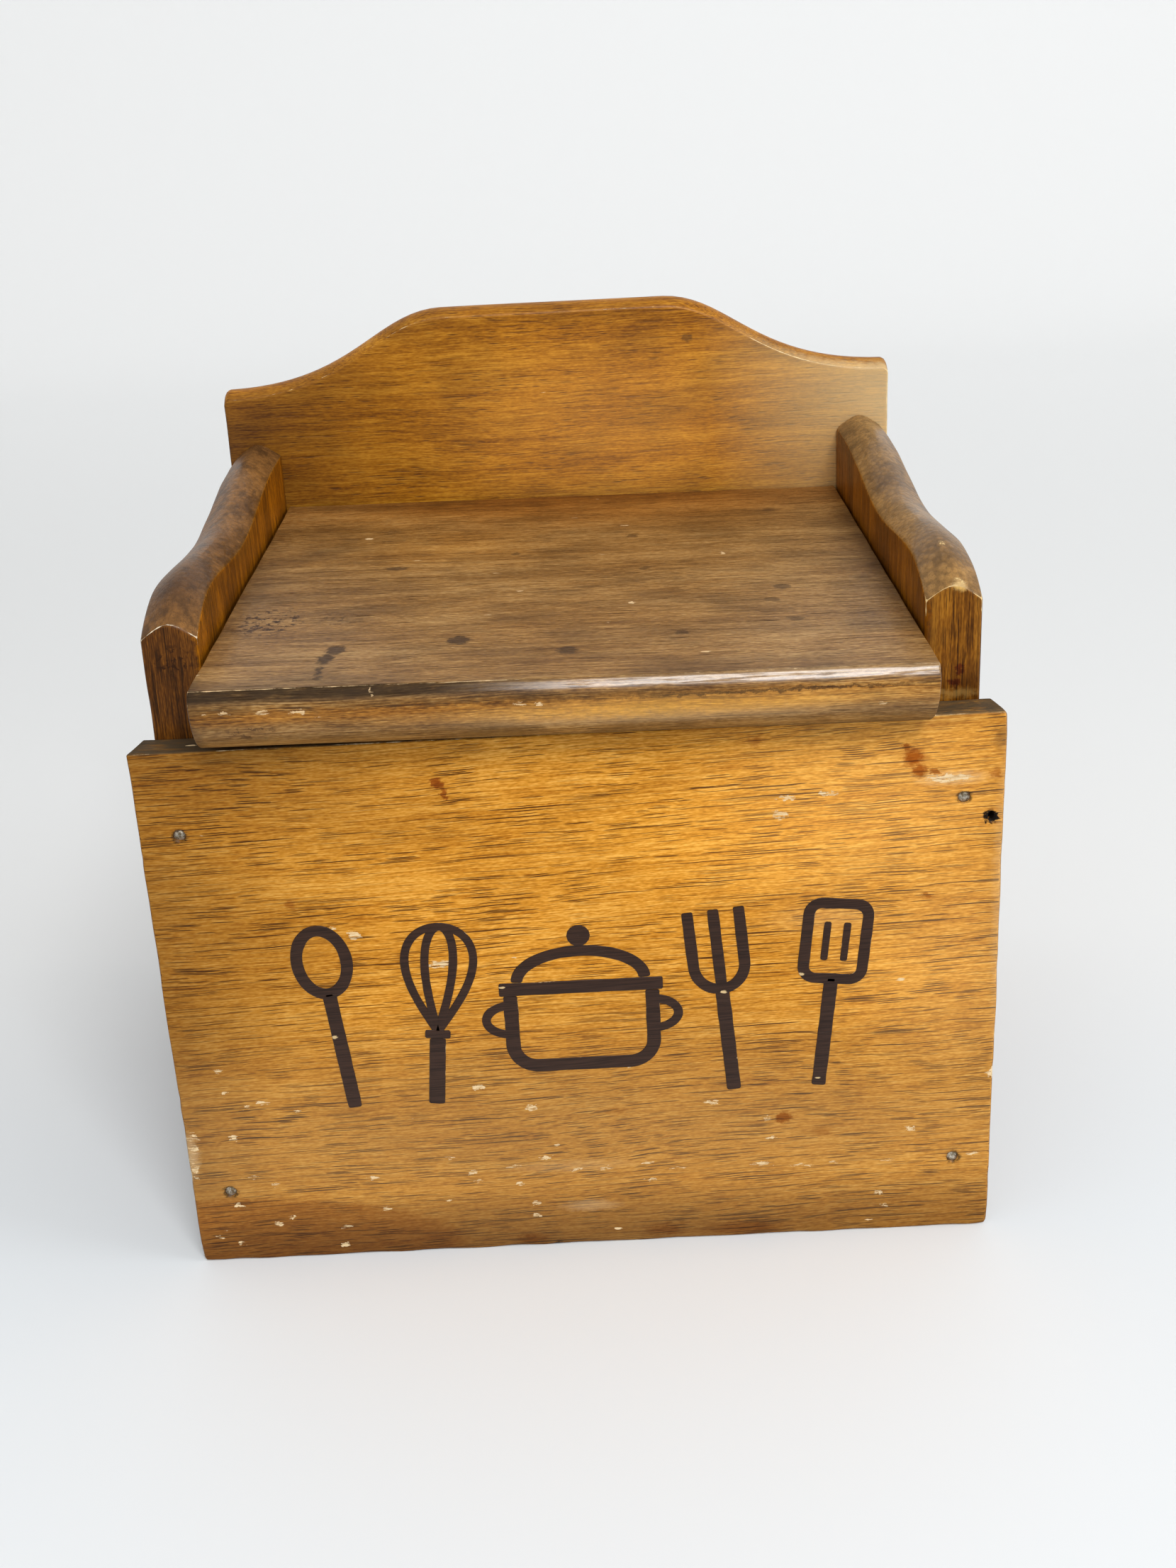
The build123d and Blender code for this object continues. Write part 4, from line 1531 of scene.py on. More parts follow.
@dataclass
class KitchenPrint:
    """The row of kitchen tools printed across the panel: spoon, whisk, pot, fork and turner."""

    finish: PrintFinish
    middle_height: float = 57.5
    stroke: float = 2.9
    fine: float = 1.9
    handle_end: float = -20.5
    top: float = 21.5

    def spoon(self) -> list[Stroke]:
        """A long spoon with an oval bowl."""
        bowl = oval((0, self.top - 7.6), (5.0, 7.2), 0, 360, closed=True)
        return [Stroke(bowl, self.stroke * 0.85, closed=True),
                Stroke(straight((0, self.top - 15.0), (0, self.handle_end)), self.stroke)]

    def whisk(self) -> list[Stroke]:
        """A balloon whisk: loops z = half (1 - cos t), x = a sin t sin(t / 2), from a bound neck."""
        neck = -3.5
        t = np.linspace(0, 2 * math.pi, 72)
        rise = (self.top - 0.8 - neck) * (1 - np.cos(t)) / 2
        strokes = [Stroke(straight((0, neck - 1.5), (0, self.handle_end)), self.stroke * 1.15)]
        for number, reach in enumerate((9.4, 3.9)):
            loop = np.stack([reach * np.sin(t) * np.sin(t / 2) ** 1.2, neck + rise], axis=-1)
            strokes.append(Stroke(loop[1:-1], self.fine * 0.9, thickness=0.12 + 0.02 * number))
        strokes.append(Stroke(straight((-2.6, neck - 0.5), (2.6, neck - 0.5)), self.fine, thickness=0.17))
        return strokes

    def pot(self) -> list[Stroke]:
        """A lidded pot with two loop handles."""
        half, rim, foot, bend = 14.5, 5.5, -12.5, 5.0
        body = np.concatenate([straight((-half, rim - 1.5), (-half, foot + bend)),
                               oval((-half + bend, foot + bend), (bend, bend), 180, 270, count=14)[1:],
                               straight((-half + bend, foot), (half - bend, foot))[1:],
                               oval((half - bend, foot + bend), (bend, bend), 270, 360, count=14)[1:],
                               straight((half, foot + bend), (half, rim - 1.5))[1:]])
        cover = oval((0, rim + 1.6), (half - 1.5, 6.6), 180, 0)
        strokes = [Stroke(body, self.stroke), Stroke(cover, self.stroke * 0.85, thickness=0.13),
                   Stroke(straight((-half - 2.2, rim), (half + 2.2, rim)), self.stroke, thickness=0.16),
                   Stroke(oval((0, rim + 11.6), (1.2, 1.2), 0, 360, closed=True), 2.4, closed=True)]
        for side in (-1, 1):
            loop = oval((side * half, rim - 7.0), (side * 5.2, 3.4), 90, -90, count=30)
            strokes.append(Stroke(loop, self.fine, thickness=0.12))
        return strokes

    def fork(self) -> list[Stroke]:
        """A three-tined fork."""
        root = self.top - 12.5
        prongs = np.concatenate([straight((-5.2, self.top), (-5.2, root)),
                                 oval((0, root), (5.2, 5.6), 180, 360, count=26)[1:],
                                 straight((5.2, root), (5.2, self.top))[1:]])
        return [Stroke(prongs, self.stroke * 0.8),
                Stroke(straight((0, self.top), (0, root - 4.6)), self.stroke * 0.8, thickness=0.13),
                Stroke(straight((0, root - 5.0), (0, self.handle_end)), self.stroke, thickness=0.15)]

    def turner(self) -> list[Stroke]:
        """A slotted turner with a rounded blade."""
        half, low, high, bend = 6.0, self.top - 17.0, self.top, 2.6
        corners = [((half - bend, high - bend), 0, 90), ((-half + bend, high - bend), 90, 180),
                   ((-half + bend, low + bend), 180, 270), ((half - bend, low + bend), 270, 360)]
        blade = np.concatenate([oval(centre, (bend, bend), start, end, count=10)
                                for centre, start, end in corners])
        strokes = [Stroke(blade, self.stroke * 0.8, closed=True),
                   Stroke(straight((0, low), (0, self.handle_end)), self.stroke)]
        for slot in (-2.0, 2.0):
            strokes.append(Stroke(straight((slot, low + 4.2), (slot, high - 4.2)), 1.5, thickness=0.12))
        return strokes

    def build(self, y_face: float) -> bpy.types.Object:
        """Lays the five tools out across the panel and makes them one piece.

        Args:
            y_face: where the panel's front face is.

        Returns:
            The print.
        """
        tools = [(self.spoon(), -50.5, 6.0), (self.whisk(), -29.5, -5.0), (self.pot(), 0.0, 0.0),
                 (self.fork(), 29.0, 5.0), (self.turner(), 50.5, -6.0)]
        parts = MeshParts()
        for strokes, x, lean in tools:
            turn = math.radians(lean)
            rotate = np.array([[math.cos(turn), math.sin(turn)], [-math.sin(turn), math.cos(turn)]])
            for stroke in strokes:
                line = stroke.line @ rotate + np.array([x, self.middle_height])
                parts.add(*replace(stroke, line=line).mesh(y_face))
        made = parts.made("kitchen_print", "arris")
        made.data.materials.append(self.finish.material())
        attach(made, Body.CASE.value)
        LOG.info("%s: %d tools", made.name, len(tools))
        return made


# ---- The whole box --------------------------------------------------------------------------------


@dataclass
class CardBox:
    """The box: five boards, the lid, the nails, the pins and the print."""

    nail_from_edge: float = 4.1
    nail_low: float = 17.5
    nail_high: float = 100.6
    nail_sink: float = 0.3
    nail_length: float = 30.0
    nail_seat: tuple[float, float] = (1.27, 0.7)
    pin_seat: tuple[float, float] = (1.72, 0.7)
    bottom_nail_length: float = 26.0
    bottom_nail_from_end: float = 24.0
    lid_top: float = 133.0
    nose_front: float = -75.6
    front_grain: ClassVar[Grain] = Grain(seed=1.0, rise=0.03)

    def front_finish(self) -> WoodFinish:
        """Golden amber with fine dark pores, darker to the left and bottom, much chipped, painted sheen at
        the right.
        """
        y = node_box("front_panel")[0][1]
        column = -node_box("left_side")[0][0] - self.nail_from_edge
        nail_rings = tuple((x, z, 2, 1.8) for x in (-column, column) for z in (self.nail_low, self.nail_high))
        stray_hole = ((82.3, 96.3, 1.4, 1.7, 1.0, 0.35),)
        pits = ((81, 95, 0.5, 0.4), (-8.1, 0.2, 1.2, 1.4, 0.8, 0.8))
        stains = (
            (-84, 2, 60, 14.5, 0.45, 0.12), (66.8, 109.6, 3, 2.9, 0.95, 0.7), (68, 106.8, 2, 2.2, 0.9, 0.7),
            (65.4, 111.8, 1.2, 1, 0.8, 0.5), (71, 106.4, 1.3, 1, 0.8, 0.5), (72.4, 105, 1.2, 0.9, 0.7, 0.5),
            (48.9, 25.6, 3.2, 1.8, 0.4, 0.8), (-13.5, 1.8, 5.5, 2), (15.5, 2.6, 6.5, 2.4),
            (36, 114.4, 2.4, 1.6, 0.5, 0.8), (-56.8, 84.5, 1.6, 1.6, 0.5, 0.7),
            (-25.7, 109.2, 1.5, 1.6, 0.9, 0.5), (-24.6, 106.8, 0.9, 1.9, 0.85, 0.5),
            (70, 79.7, 1.2, 1, 0.6, 0.7), (58.3, 72.3, 1.2, 1, 0.5, 0.7), (82.9, 105.4, 1.4, 1.6, 0.6, 0.7),
            (41, 29.5, 2.2, 1.9, 0.8, 0.5), (6.1, 33, 3.4, 1.6, 0.35, 0.9), (32, 2, 13, 2.8),
            (-62, 7, 12, 6, 0.3, 0.9))
        chips = (
            (74, 104.9, 11, 1.4, 0.68, 0.8), (40.6, 98.8, 3.1, 2.2, 0.65, 0.7),
            (42.2, 102.3, 2.9, 0.6, 0.61, 0.4), (50.2, 102.8, 2.9, 0.6, 0.61, 0.4),
            (9, 44, 1.3, 0.7, 0.7, 0.4), (-22.4, 40.4, 2.5, 0.6, 0.7, 0.4), (-11.5, 34.9, 2, 0.8, 0.61, 0.4),
            (25.7, 34, 2, 0.8, 0.61, 0.4), (-29.8, 23.4, 3.6, 1, 0.585, 0.9), (-25.2, 19.6, 2.7, 0.9),
            (-23.7, 17.3, 2.2, 0.9), (-16.3, 20.4, 5.6, 1, 0.585, 0.9), (-15.3, 16.2, 1.8, 0.9),
            (-9.5, 22.3, 2.9, 1), (-3.1, 18.9, 4.9, 1.1, 0.585, 0.9), (2.8, 19, 4.9, 1.5, 0.585, 0.9),
            (12, 19.7, 4.3, 1.1, 0.585, 0.9), (18.6, 18.2, 4.3, 1, 0.585, 0.9),
            (36.5, 18.1, 7.8, 1.4, 0.585, 0.9), (45, 17.3, 6.2, 1, 0.585, 0.9),
            (51.9, 17.7, 3.6, 1.1, 0.585, 0.9), (62.5, 17.6, 6.2, 1.1, 0.585, 0.9),
            (81.5, 18, 4.9, 1.4, 0.585, 0.9), (12.5, 15.5, 5, 0.9, 0.6, 0.9), (-12, 7.9, 2.1, 1.1),
            (-12, 11, 2, 1), (37.7, 29.3, 1.6, 1.1), (38.3, 24.6, 2.2, 0.9), (67.6, 25.2, 2.5, 0.9),
            (61.4, 9.5, 2, 1), (62.6, 6, 1.6, 1), (-76, 47.3, 1.8, 1), (-75, 42, 1.7, 0.9),
            (-67.4, 39.1, 3.4, 0.9), (-71, 38.1, 1.6, 0.9), (-60.5, 36.8, 1.8, 1),
            (-74.4, 31, 2, 1.4, 0.7, 0.7), (-72, 21, 2.7, 1), (-67, 18.9, 2.2, 1.4),
            (-75.5, 14.1, 2, 1.3, 0.7, 0.7), (-67.8, 8.8, 1.7, 1), (-64.6, 10.4, 1.6, 0.9),
            (-80.6, 6.2, 1.7, 1.2), (-76, 4.3, 1.7, 1), (-53.9, 2.6, 2, 1.2, 0.7, 0.7), (-53, 7.2, 2.7, 0.9),
            (-46.2, 19.3, 2.7, 1), (-43.9, 11.4, 1.8, 1), (-82.6, 31.5, 1.7, 1.7), (-83, 28.5, 1.6, 1.5),
            (-83.4, 23.6, 1.8, 1.8), (-83.7, 21.5, 1.7, 1.4), (-44.8, 77, 1.8, 1.3, 0.61, 0.4),
            (-28.3, 69.7, 4.7, 1.8, 0.62, 0.7), (-83.5, 29, 3.6, 16.5, 0.5, 0.9),
            (84.6, 38, 1.3, 1.8, 0.7, 0.4), (-4, 88, 34, 13, 0.28, 0.9), (-72.5, 100.4, 4, 1, 0.5, 0.9),
            (-60, 108, 30, 12, 0.24, 0.9), (40, 90, 40, 14, 0.26, 0.9), (-83.4, 31, 2.8, 2.6, 0.58, 0.9),
            (-84, 25.4, 1.9, 4.4, 0.58, 0.9))
        # The first row is painted shade of the gap under the lid, on the top edge.
        shades = (
            (0, 119.4, 600, 1.7, 0.9, 0.6), (-88, 122, 90, 54, 0.8, 1), (-96, 62, 66, 200, 0.8, 1),
            (-20, 0, 300, 27, 0.96, 1), (-20, 30, 260, 42, 0.48, 1), (88, 60, 6, 400, 0.4, 1),
            (33.4, 13, 2.2, 0.9, 0.6, 0.6), (53.8, 7, 2.2, 0.9, 0.6, 0.6), (84, 113, 3, 4, 0.6, 0.8),
            (-10, 57, 90, 9, 0.2, 1), (-54, 6, 16, 6, 0.3, 0.9), (-40.3, 1.2, 3.4, 1.8, 0.7, 0.7),
            (-32.9, 1.2, 3, 1.6, 0.7, 0.7))
        glows = ((45, 96, 52, 26), (62, 60, 30, 30, 0.4, 1))
        # (76, 62) and (60, 100) are painted sheen at the right.
        smears_and_sheen = (
            (76, 62, 40, 60), (52, 76, 22, 6, 0.2, 1), (0, 26, 300, 40, 0.14, 1), (60, 100, 50, 40),
            (74, 104.9, 12, 2.6, 0.6, 0.9), (-4, 20, 30, 3.4, 0.3, 1), (-0.5, 9.8, 11, 2.4, 0.4, 0.9),
            (86, 76, 5, 60, 0.4, 0.9), (-84.4, 27, 3.6, 9, 0.6, 0.9))
        on_face = partial(face_marks, Face.UPRIGHT, y)
        marks = (on_face(MarkKind.SOOT, pits, (1.0, 0.5))
                 + on_face(MarkKind.SOOT, nail_rings, (0.8, 0.5))
                 + on_face(MarkKind.SOOT, stray_hole, depth=9.0)
                 + on_face(MarkKind.STAIN, stains, (0.6, 0.8))
                 + on_face(MarkKind.CHIP, chips, (0.61, 0.7))
                 + on_face(MarkKind.SHADE, shades, (0.6, 1.0), depth=60.0)
                 + on_face(MarkKind.GLOW, glows, (0.8, 1.0))
                 + on_face(MarkKind.SMEAR, smears_and_sheen, (0.16, 1.0)))
        return WoodFinish("front_panel_wood_finish", self.front_grain,
                          GrainPlay(band=0.55, cloud=0.4, fibre=1.5, speck=1.0, pore=1.0, line=1.0), marks,
                          pale=linear(244, 182, 84), middle=linear(213, 144, 42), pore=linear(88, 48, 8),
                          stain=linear(180, 128, 10), worn=linear(232, 204, 158), sheen=0.1, rub=0.5)

    def lid_finish(self) -> WoodFinish:
        """Grey-brown satin with fine streaks, ink-dark spots on top and an amber and tan nose, with painted
        shade and light.
        """
        z, y = self.lid_top, self.nose_front
        shades = (
            (-44, -53, 2.6, 3.8, 1, 0.4), (-45.4, -58, 2, 4.6, 1, 0.4), (-45.8, -65, 0.9, 4.4, 0.9, 0.5),
            (-45.6, -69.4, 1.4, 1.4, 0.8, 0.5), (-20.3, -49.5, 2.8, 3.4, 1, 0.35),
            (1, -58.4, 2.6, 3.2, 0.9, 0.5), (-36.7, 4, 3.4, 2.2, 0.8, 0.5), (16.4, 24.8, 1.8, 2.2, 0.7, 0.5),
            (46.2, -21.4, 2.4, 2.6, 0.75, 0.5), (43, -30.2, 2, 2, 0.6, 0.6), (23.6, -49.7, 1.8, 2, 0.7, 0.5),
            (18, -3.2, 1.5, 2), (46.4, -43.8, 2.2, 2), (50.6, 43.7, 2.6, 2.8, 0.6, 0.6),
            (-10.4, 12.4, 1.2, 1.6, 0.7, 0.5), (-55.9, 19.9, 10, 12, 0.45, 1), (-36, -12, 16, 9, 0.4, 1),
            # The last four rows are painted shade: at the feet of the arms, and along the back by the
            # backboard.
            (-8, -36, 15, 6, 0.35, 1), (64, -17, 5, 6, 0.7, 0.9), (-73, 0, 19, 86, 0.9, 1),
            (74, 0, 19, 80, 0.9, 1), (0, 74, 120, 34, 0.75, 1), (-70, 74, 46, 40, 0.5, 1))
        # The second row is the painted reflection of the backboard on the lid's back.
        warm_and_reflected = ((-25, 20, 30, 26), (0, 72, 130, 50, 0.95, 1))
        nibs = ((35.9, 6.4, 1, 1.4), (14.4, -28.9, 1.2, 1.2), (-45.6, 31, 1, 1.4, 0.7, 0.5))
        specks = ((-60, -33, 11, 13), (-46, -32, 9, 9, 0.6, 0.8))
        # The third row is painted shade on the nose's underside, over the gap.
        nose_shades = (
            (38, -75.6, 129.5, 46, 3, 0.5, 0.9), (-69.5, -72, 126, 3.5, 9, 30, 0.6),
            (0, -72, 119.4, 500, 9, 2.6, 0.7), (-6, -75.6, 130.4, 60, 3, 1.2, 0.5))
        nose_glows = (
            (-30, -75.6, 128.8, 260, 3, 2.6, 0.8), (18, -75.6, 127, 90, 3, 5, 1),
            (10, -75.6, 126, 60, 3, 5, 1))
        nose_chips = (
            (-66.3, -75.5, 130, 1.4, 2, 0.6, 0.56), (-62.4, -75.5, 130.1, 1.5, 2, 0.7, 0.56),
            (-55.6, -75.5, 129.9, 2, 2, 0.7, 0.58), (-48.7, -75.5, 129.9, 2, 2, 0.9, 0.64),
            (-8.3, -75.5, 129.2, 1.8, 2, 0.6, 0.6), (-4.4, -75.5, 128.8, 1.6, 2, 0.6, 0.6),
            (12.9, -75.5, 124.4, 3, 2, 0.5, 0.55), (58.9, -75.5, 125.4, 2.2, 2, 0.9, 0.6),
            (-35.3, -74.6, 132.6, 0.8, 2, 0.7, 0.6))
        on_top = partial(face_marks, Face.LEVEL, z)
        # The stain along the back is painted shade and a painted reflection of the backboard.
        marks = (on_top(MarkKind.STAIN, ((0.0, 74.0, 150.0, 50.0, 0.45, 1.0),))
                 + on_top(MarkKind.SHADE, shades, (0.6, 0.5))
                 + on_top(MarkKind.SPECKLE, specks, (1.0, 0.45))
                 + on_top(MarkKind.GLOW, warm_and_reflected, (0.4, 1.0))
                 + on_top(MarkKind.CHIP, nibs, (0.8, 0.5))
                 + free_marks(MarkKind.SHADE, 0.7, nose_shades) + free_marks(MarkKind.GLOW, 0.9, nose_glows)
                 + free_marks(MarkKind.CHIP, 0.5, nose_chips)
                 + free_marks(MarkKind.SMEAR, 0.9, ((16.0, y, 125.4, 62.0, 4.0, 5.4, 0.66),))
                 # A painted highlight on the bevel's right half.
                 + free_marks(MarkKind.SMEAR, 0.8, ((46.0, -74.4, 132.6, 48.0, 1.6, 1.4, 0.3),))
                 + free_marks(MarkKind.SPECKLE, 0.7, ((-58.0, -75.0, 124.8, 9.0, 4.0, 3.0, 0.9),)))
        return WoodFinish("lid_wood_finish", Grain(seed=15.0),
                          GrainPlay(band=0.6, cloud=0.9, fibre=1.5, speck=1.1, pore=0.75, line=0.6), marks,
                          pale=linear(192, 152, 94), middle=linear(150, 108, 54), deep=linear(98, 62, 22),
                          pore=linear(62, 36, 12), dirt_and_shade_colour=linear(66, 48, 34), speckle=linear(62, 34, 4),
                          worn=linear(222, 188, 140), grime_and_shade=linear(38, 24, 5), amber=(1.42, 1.12, 0.42),
                          blotch=0.36, gloss=0.34, coat=0.1, rub=0.36)

    def back_finish(self) -> WoodFinish:
        """Orange-brown with short dark flecks, darker at the left, with painted sheen at the right."""
        y = node_box("backboard")[0][1]
        shades = (
            (-92, 140, 84, 90, 0.8, 1), (0, 128, 400, 14, 0.3, 1), (33, 171, 1.6, 1.4, 0.7, 0.6),
            (0, 183.5, 600, 4.5, 0.55, 0.9))
        # The first row is painted sheen at the right.
        smears_and_sheen = ((84, 154, 60, 56, 0.85, 1), (16, 150, 64, 34, 0.16, 1))
        on_face = partial(face_marks, Face.UPRIGHT, y)
        marks = (on_face(MarkKind.SHADE, shades, (0.6, 1.0))
                 + on_face(MarkKind.SMEAR, smears_and_sheen, (0.6, 1.0))
                 + on_face(MarkKind.GLOW, ((16.0, 152.0, 60.0, 34.0, 0.7, 1.0),)))
        grain = Grain(seed=9.0, pore_length=11.0, pore_gap=0.7, pore_edge=0.25)
        return WoodFinish("backboard_wood_finish", grain,
                          GrainPlay(band=1.1, cloud=0.8, fibre=1.6, speck=0.9, pore=0.9, line=0.4), marks,
                          pale=linear(212, 148, 40), middle=linear(176, 112, 12), deep=linear(122, 68, 2),
                          pore=linear(92, 50, 4), amber=(1.25, 1.15, 0.9), blotch=0.25, rub=0.5,
                          fleck_share=0.004)

    def left_finish(self) -> WoodFinish:
        """Dark red-brown, partly as painted shade, with upright grain, a grey-brown mottled crown and a
        crackled front.
        """
        low, high = node_box("left_side")
        x, y, inner = (low[0] + high[0]) / 2, low[1], high[0]
        shades = (
            # The first row is painted shade on the inner face, where the lid meets it.
            (inner, 0.0, 130.0, 2.0, 200.0, 8.0, 0.6), (x, y, 122.0, 9.0, 9.0, 7.0, 0.4),
            (x, y + 10.0, 146.0, 14.0, 26.0, 12.0, 0.8), (x, y + 118.0, 150.0, 14.0, 22.0, 12.0, 0.5))
        marks = (free_marks(MarkKind.SPECKLE, 0.6, ((x, y, 134.0, 5.0, 3.0, 4.5, 1.0),))
                 + free_marks(MarkKind.GLOW, 0.6, ((inner, 0.0, 138.0, 1.3, 300.0, 60.0, 0.9),))
                 + free_marks(MarkKind.SHADE, 1.0, shades)
                 # Painted shade over the front face.
                 + free_marks(MarkKind.SHADE, 0.4, ((x, y, 60.0, 12.0, 4.0, 160.0, 0.3),)))
        return self.arm_finish("left_side_wood_finish", 3.0, marks,
                               GrainPlay(band=1.0, cloud=0.9, fibre=1.5, speck=0.8, pore=0.8, line=0.8),
                               # These darker colours are partly painted shade of the left side.
                               pale=linear(148, 90, 20), middle=linear(98, 55, 8), deep=linear(54, 28, 3),
                               pore=linear(30, 16, 3), worn=linear(236, 220, 190), speckle=linear(52, 28, 10),
                               end_colour=linear(158, 111, 58), amber=(2.3, 2.3, 0.5), end_mottle=0.5,
                               end_coat=0.14, leather=0.26, gloss=0.34, rub=0.6)

    def right_finish(self) -> WoodFinish:
        """Red-brown with upright grain, paler than the left side partly as painted light, and more worn."""
        low, high = node_box("right_side")
        x, y, inner = (low[0] + high[0]) / 2, low[1], low[0]
        shades = (
            # The first row is painted shade on the inner face, where the lid meets it.
            (inner, 0.0, 130.0, 2.0, 200.0, 8.0, 0.6), (x, y + 16.0, 150.0, 14.0, 26.0, 12.0, 0.6),
            (x, y + 72.0, 146.0, 14.0, 34.0, 12.0, 0.4))
        chips = (
            (77.4, y + 0.6, 142.0, 2.4, 2.2, 1.3, 0.62), (75.4, y + 13.0, 147.4, 1.6, 2.6, 2.4, 0.62),
            (78.6, y + 8.0, 146.0, 1.2, 2.4, 2.4, 0.55))
        marks = (free_marks(MarkKind.GLOW, 0.6, ((inner, 0.0, 138.0, 1.3, 300.0, 60.0, 1.0),))
                 + free_marks(MarkKind.SHADE, 1.0, shades)
                 + free_marks(MarkKind.SMEAR, 0.7, ((76.8, y, 141.4, 2.2, 2.6, 2.0, 0.9),))
                 + free_marks(MarkKind.CHIP, 0.6, chips)
                 + free_marks(MarkKind.SMEAR, 0.8, ((75.4, y, 119.4, 8.0, 1.5, 1.5, 0.3),))
                 + free_marks(MarkKind.STAIN, 0.5, ((76.8, y, 124.4, 1.2, 2.0, 1.5, 0.8),))
                 + free_marks(MarkKind.STAIN, 0.6, ((75.8, y, 121.6, 1.7, 2.0, 1.2, 0.8),))
                 # Painted light over the front face.
                 + free_marks(MarkKind.GLOW, 0.4, ((x, y, 60.0, 12.0, 4.0, 160.0, 0.35),)))
        return self.arm_finish("right_side_wood_finish", 5.0, marks,
                               GrainPlay(band=1.1, cloud=0.9, fibre=1.5, speck=0.7, pore=0.8, line=0.8),
                               # These paler colours are partly painted light on the right side.
                               pale=linear(160, 110, 34), middle=linear(114, 70, 11), deep=linear(62, 34, 3),
                               pore=linear(40, 21, 3), worn=linear(222, 190, 132), stain=linear(160, 72, 30),
                               end_colour=linear(184, 140, 80), amber=(1.6, 1.3, 0.25), end_mottle=0.3,
                               end_coat=0.26, leather=0.32, gloss=0.32, rub=0.62)

    def arm_finish(self, name: str, seed: float, marks: tuple[Mark, ...], play: GrainPlay,
                   **own: object) -> WoodFinish:
        """What both side boards share, with each one's own colours and strengths."""
        return WoodFinish(name, Grain(GrainWay.ALONG_Z, seed), play, marks, dirt_and_shade_colour=linear(96, 70, 50),
                          end_share_mixed=0.8, end_speckle=0.2, blotch=0.4, coat=0.04, sheen=0.12,
                          fleck_share=0.0, **own)

    def seats_for(self, axis: int, places: list[Point], size: tuple[float, float]) -> list[Seat]:
        """Seats of one radius and depth on the faces that the places lie on."""
        return [Seat(place, axis, int(math.copysign(1, place[axis])), *size) for place in places]

    def build(self) -> None:
        """Builds every piece in order."""
        panel_low, panel_high = node_box("front_panel")
        side_low, side_high = node_box("right_side")
        back_high = node_box("backboard")[1]
        x_outer, y_front, y_back = side_high[0], panel_low[1], back_high[1]
        hinge = np.array(frame["joints"][0]["pos_m"]) / MM
        columns = (-(x_outer - self.nail_from_edge), x_outer - self.nail_from_edge)
        rows = (self.nail_low, self.nail_high)
        bottom_rows = (side_low[1] + self.bottom_nail_from_end, side_high[1] - self.bottom_nail_from_end)
        floor = node_box("bottom_board")[1][2] / 2

        front_faces = [(x, y_front, z) for x in columns for z in rows]
        back_faces = [(x, y_back, z) for x in columns for z in rows]
        end_nicks = (
            (-1, 22.0, 1.6, 0.5), (-1, 34.0, 2.2, 0.35), (-1, 41.0, 1.3, 0.4), (-1, 71.0, 1.4, 0.25),
            (-1, 96.0, 1.3, 0.3), (1, 38.0, 1.4, 0.5), (1, 62.0, 1.6, 0.25), (1, 88.0, 1.2, 0.3),
            (1, 104.0, 1.5, 0.35), (1, 12.0, 1.4, 0.3), (1, 117.5, 1.8, 0.5), (-1, 1.0, 2.2, 0.7),
            (1, 1.0, 2.5, 0.6))
        nicks = [Nick((side * panel_high[0], y_front, z), *size) for side, z, *size in end_nicks]
        nicks += [Nick((x, y_front, 0.0), 1.3, 0.25) for x in (-8.1, 17.0, 44.0, -38.0)]
        stray_hole = Seat((82.4, y_front, 96.3), 1, -1, 0.75, 2.4, stretch=1.5)
        FrontPanel("front_panel", "front_panel_wood", self.front_finish(), seed=3, arris=0.7, nicks=nicks,
                   seats=[*self.seats_for(1, front_faces, self.nail_seat), stray_hole]).build()
        sides = ((-1, "left_side", self.left_finish()), (1, "right_side", self.right_finish()))
        for sign, name, finish in sides:
            seats = self.seats_for(0, [(sign * x_outer, y, floor) for y in bottom_rows], self.nail_seat)
            seats += self.seats_for(0, [(sign * x_outer, hinge[1], hinge[2])], self.pin_seat)
            SideBoard(name, "side_wood", finish, seed=7 + sign, sign=sign, seats=seats, arris=0.6).build()
        Backboard("backboard", "backboard_wood", self.back_finish(), seed=12,
                  seats=self.seats_for(1, back_faces, self.nail_seat)).build()
        BottomBoard("bottom_board", "bottom_wood", WoodFinish("bottom_board_finish", Grain(seed=12.0)),
                    seed=15).build()
        Lid("lid", "lid_wood", self.lid_finish(), body=Body.LID, seed=18, arris=0.35).build()

        steel = SteelFinish("nail_steel_finish")
        front = [(x, y_front + self.nail_sink, z) for x, _, z in front_faces]
        back = [(x, y_back - self.nail_sink, z) for x, _, z in back_faces]
        x_head = x_outer - self.nail_sink
        low = [(sign * x_head, y, floor) for sign in (-1, 1) for y in bottom_rows]
        long, short = NailShape(self.nail_length), NailShape(self.bottom_nail_length)
        NailGroup("front_nails", "nail_steel", long, front, 1, steel, seed=1).build()
        NailGroup("back_nails", "nail_steel", long, back, 1, steel, seed=2).build()
        NailGroup("bottom_nails", "nail_steel", short, low, 0, steel, seed=3).build()
        for sign, name in ((-1, "hinge_pin_left"), (1, "hinge_pin_right")):
            box = node_box(name)
            pin = NailShape(box[1][0] - box[0][0], radius=1.0, head_radius=1.7, head_height=1.0)
            NailGroup(name, "pin_steel", pin, [(sign * x_head, hinge[1], hinge[2])], 0,
                      SteelFinish(f"{name}_finish"), seed=6 + sign).build()
        KitchenPrint(PrintFinish(self.front_grain)).build(y_front)


# ---- Camera, floor and light ----------------------------------------------------------------------


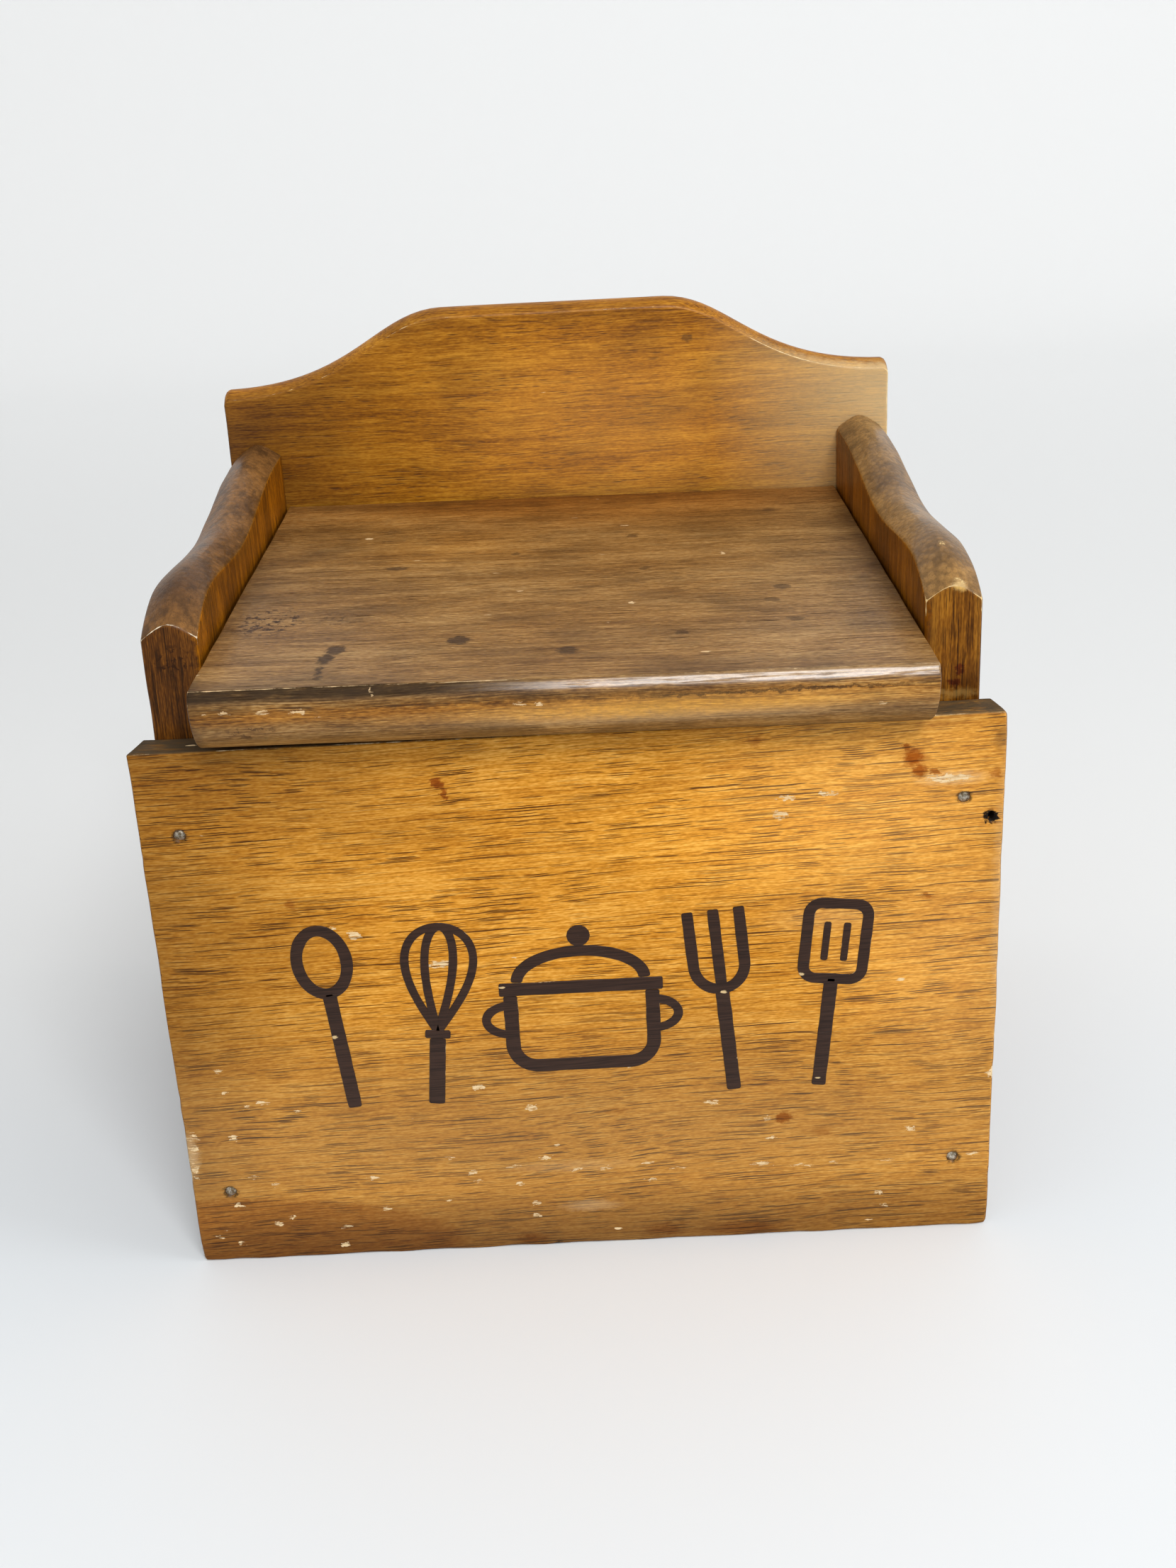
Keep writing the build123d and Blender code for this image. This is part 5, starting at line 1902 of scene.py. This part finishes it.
@dataclass(frozen=True)
class Lamp:
    """An oblong soft light at a place, with its power in watts."""

    name: str
    place: Point
    width: float
    height: float
    power: float

    def build(self, aim: Point) -> None:
        """Hangs the light and aims it at a point."""
        data = bpy.data.lights.new(self.name, "AREA")
        data.shape = "RECTANGLE"
        data.size, data.size_y = self.width * MM, self.height * MM
        data.energy = self.power
        made = bpy.data.objects.new(self.name, data)
        made.location = Vector(self.place) * MM
        made.rotation_mode = "QUATERNION"
        made.rotation_quaternion = (Vector(aim) - Vector(self.place)).to_track_quat("-Z", "Y")
        bpy.context.scene.collection.objects.link(made)


@dataclass(frozen=True)
class Studio:
    """A white sweep of paper, two soft lights and pale surroundings."""

    eye: Point = (5.05, -392.3, 243.65)
    lens: float = 42.18
    pitch: float = 0.392
    yaw: float = -0.0045
    roll: float = -0.0512
    paper: Colour = (0.815, 0.825, 0.825)
    near_paper: Colour = (0.79, 0.825, 0.85)
    dim_paper: Colour = (0.12, 0.12, 0.12)
    surround: float = 0.6
    seen_surround: float = 0.9
    wall_lift: float = 0.155
    aim: Point = (0, 0, 80)
    lamps: tuple[Lamp, ...] = (Lamp("window", (300, -1190, 1300), 700, 450, 16.0),
                               Lamp("side_fill", (1500, -300, 900), 900, 900, 8.0))

    def camera(self) -> None:
        """Points the camera: down by the pitch, round by the yaw, then rolled about its own axis."""
        forward = Vector((math.sin(self.yaw) * math.cos(self.pitch),
                          math.cos(self.yaw) * math.cos(self.pitch), -math.sin(self.pitch)))
        right = Vector((math.cos(self.yaw), -math.sin(self.yaw), 0))
        up = right.cross(forward)
        level, lean = math.cos(self.roll), math.sin(self.roll)
        columns = (right * level + up * lean, up * level - right * lean, -forward)
        data = bpy.data.cameras.new("front_camera")
        data.lens = self.lens
        data.clip_start = 0.01
        camera = bpy.data.objects.new("front_camera", data)
        turn = Matrix([list(row) for row in zip(*columns)]).to_4x4()
        camera.matrix_world = Matrix.Translation(Vector(self.eye) * MM) @ turn
        bpy.context.scene.collection.objects.link(camera)
        bpy.context.scene.camera = camera

    def sweep(self) -> None:
        """The paper: flat, then a quarter round of radius r, then upright, carried along X."""
        bend, wall, front, width, height = 500.0, 1500.0, -2600.0, 3200.0, 2200.0
        angle = np.linspace(0, math.pi / 2, 24)
        curve = np.stack([wall - bend + bend * np.sin(angle), bend - bend * np.cos(angle)], axis=-1)
        profile = np.concatenate([[(front, 0.0)], curve, [(wall, height)]])
        x = np.linspace(-width, width, 9)
        points = np.stack([np.repeat(x, len(profile)), np.tile(profile[:, 0], len(x)),
                           np.tile(profile[:, 1], len(x))], axis=-1)
        numbers = np.arange(len(points)).reshape(len(x), len(profile))
        quads = np.stack([numbers[:-1, :-1], numbers[1:, :-1], numbers[1:, 1:], numbers[:-1, 1:]], axis=-1)
        paper = mesh_object("paper_sweep", points, quads.reshape(-1, 4).tolist(), {})
        material, nodes, shader = new_material("paper")
        depth = nodes.split(nodes.node("ShaderNodeTexCoord", {}).outputs["Object"])[1]
        rays = nodes.node("ShaderNodeLightPath", {}).outputs
        dim = nodes.times(nodes.step(depth, -0.08, -0.3), rays["Is Glossy Ray"])
        tint = nodes.mix(nodes.step(depth, 0.1, -0.06), self.paper, self.near_paper)
        lift = nodes.times(nodes.step(depth, 0.25, 1.2, 0.0, self.wall_lift), rays["Is Camera Ray"])
        nodes.feed(shader, {"Base Color": nodes.mix(dim, tint, self.dim_paper), "Roughness": 0.9,
                            "Emission Color": nodes.mix(lift, (0.0, 0.0, 0.0), (1.0, 1.0, 1.0)),
                            "Emission Strength": 1.0})
        paper.data.materials.append(material)

    def build(self) -> None:
        """Sets up the camera, the paper, the lights and the surroundings."""
        self.camera()
        self.sweep()
        for lamp in self.lamps:
            lamp.build(self.aim)
        world = bpy.data.worlds.new("surroundings")
        world.use_nodes = True
        bpy.context.scene.world = world
        nodes = Wiring(world.node_tree)
        seen = nodes.node("ShaderNodeLightPath", {}).outputs["Is Camera Ray"]
        strength = nodes.step(seen, 0.0, 1.0, self.surround, self.seen_surround)
        nodes.feed(world.node_tree.nodes["Background"], {"Color": (1.0, 1.0, 1.0), "Strength": strength})
        bpy.context.scene.view_settings.view_transform = "Standard"


def main() -> None:
    """Builds the studio and the box."""
    logging.basicConfig(level=logging.INFO, format="%(name)s %(message)s")
    Studio().build()
    CardBox().build()


if __name__ == "__main__":
    main()
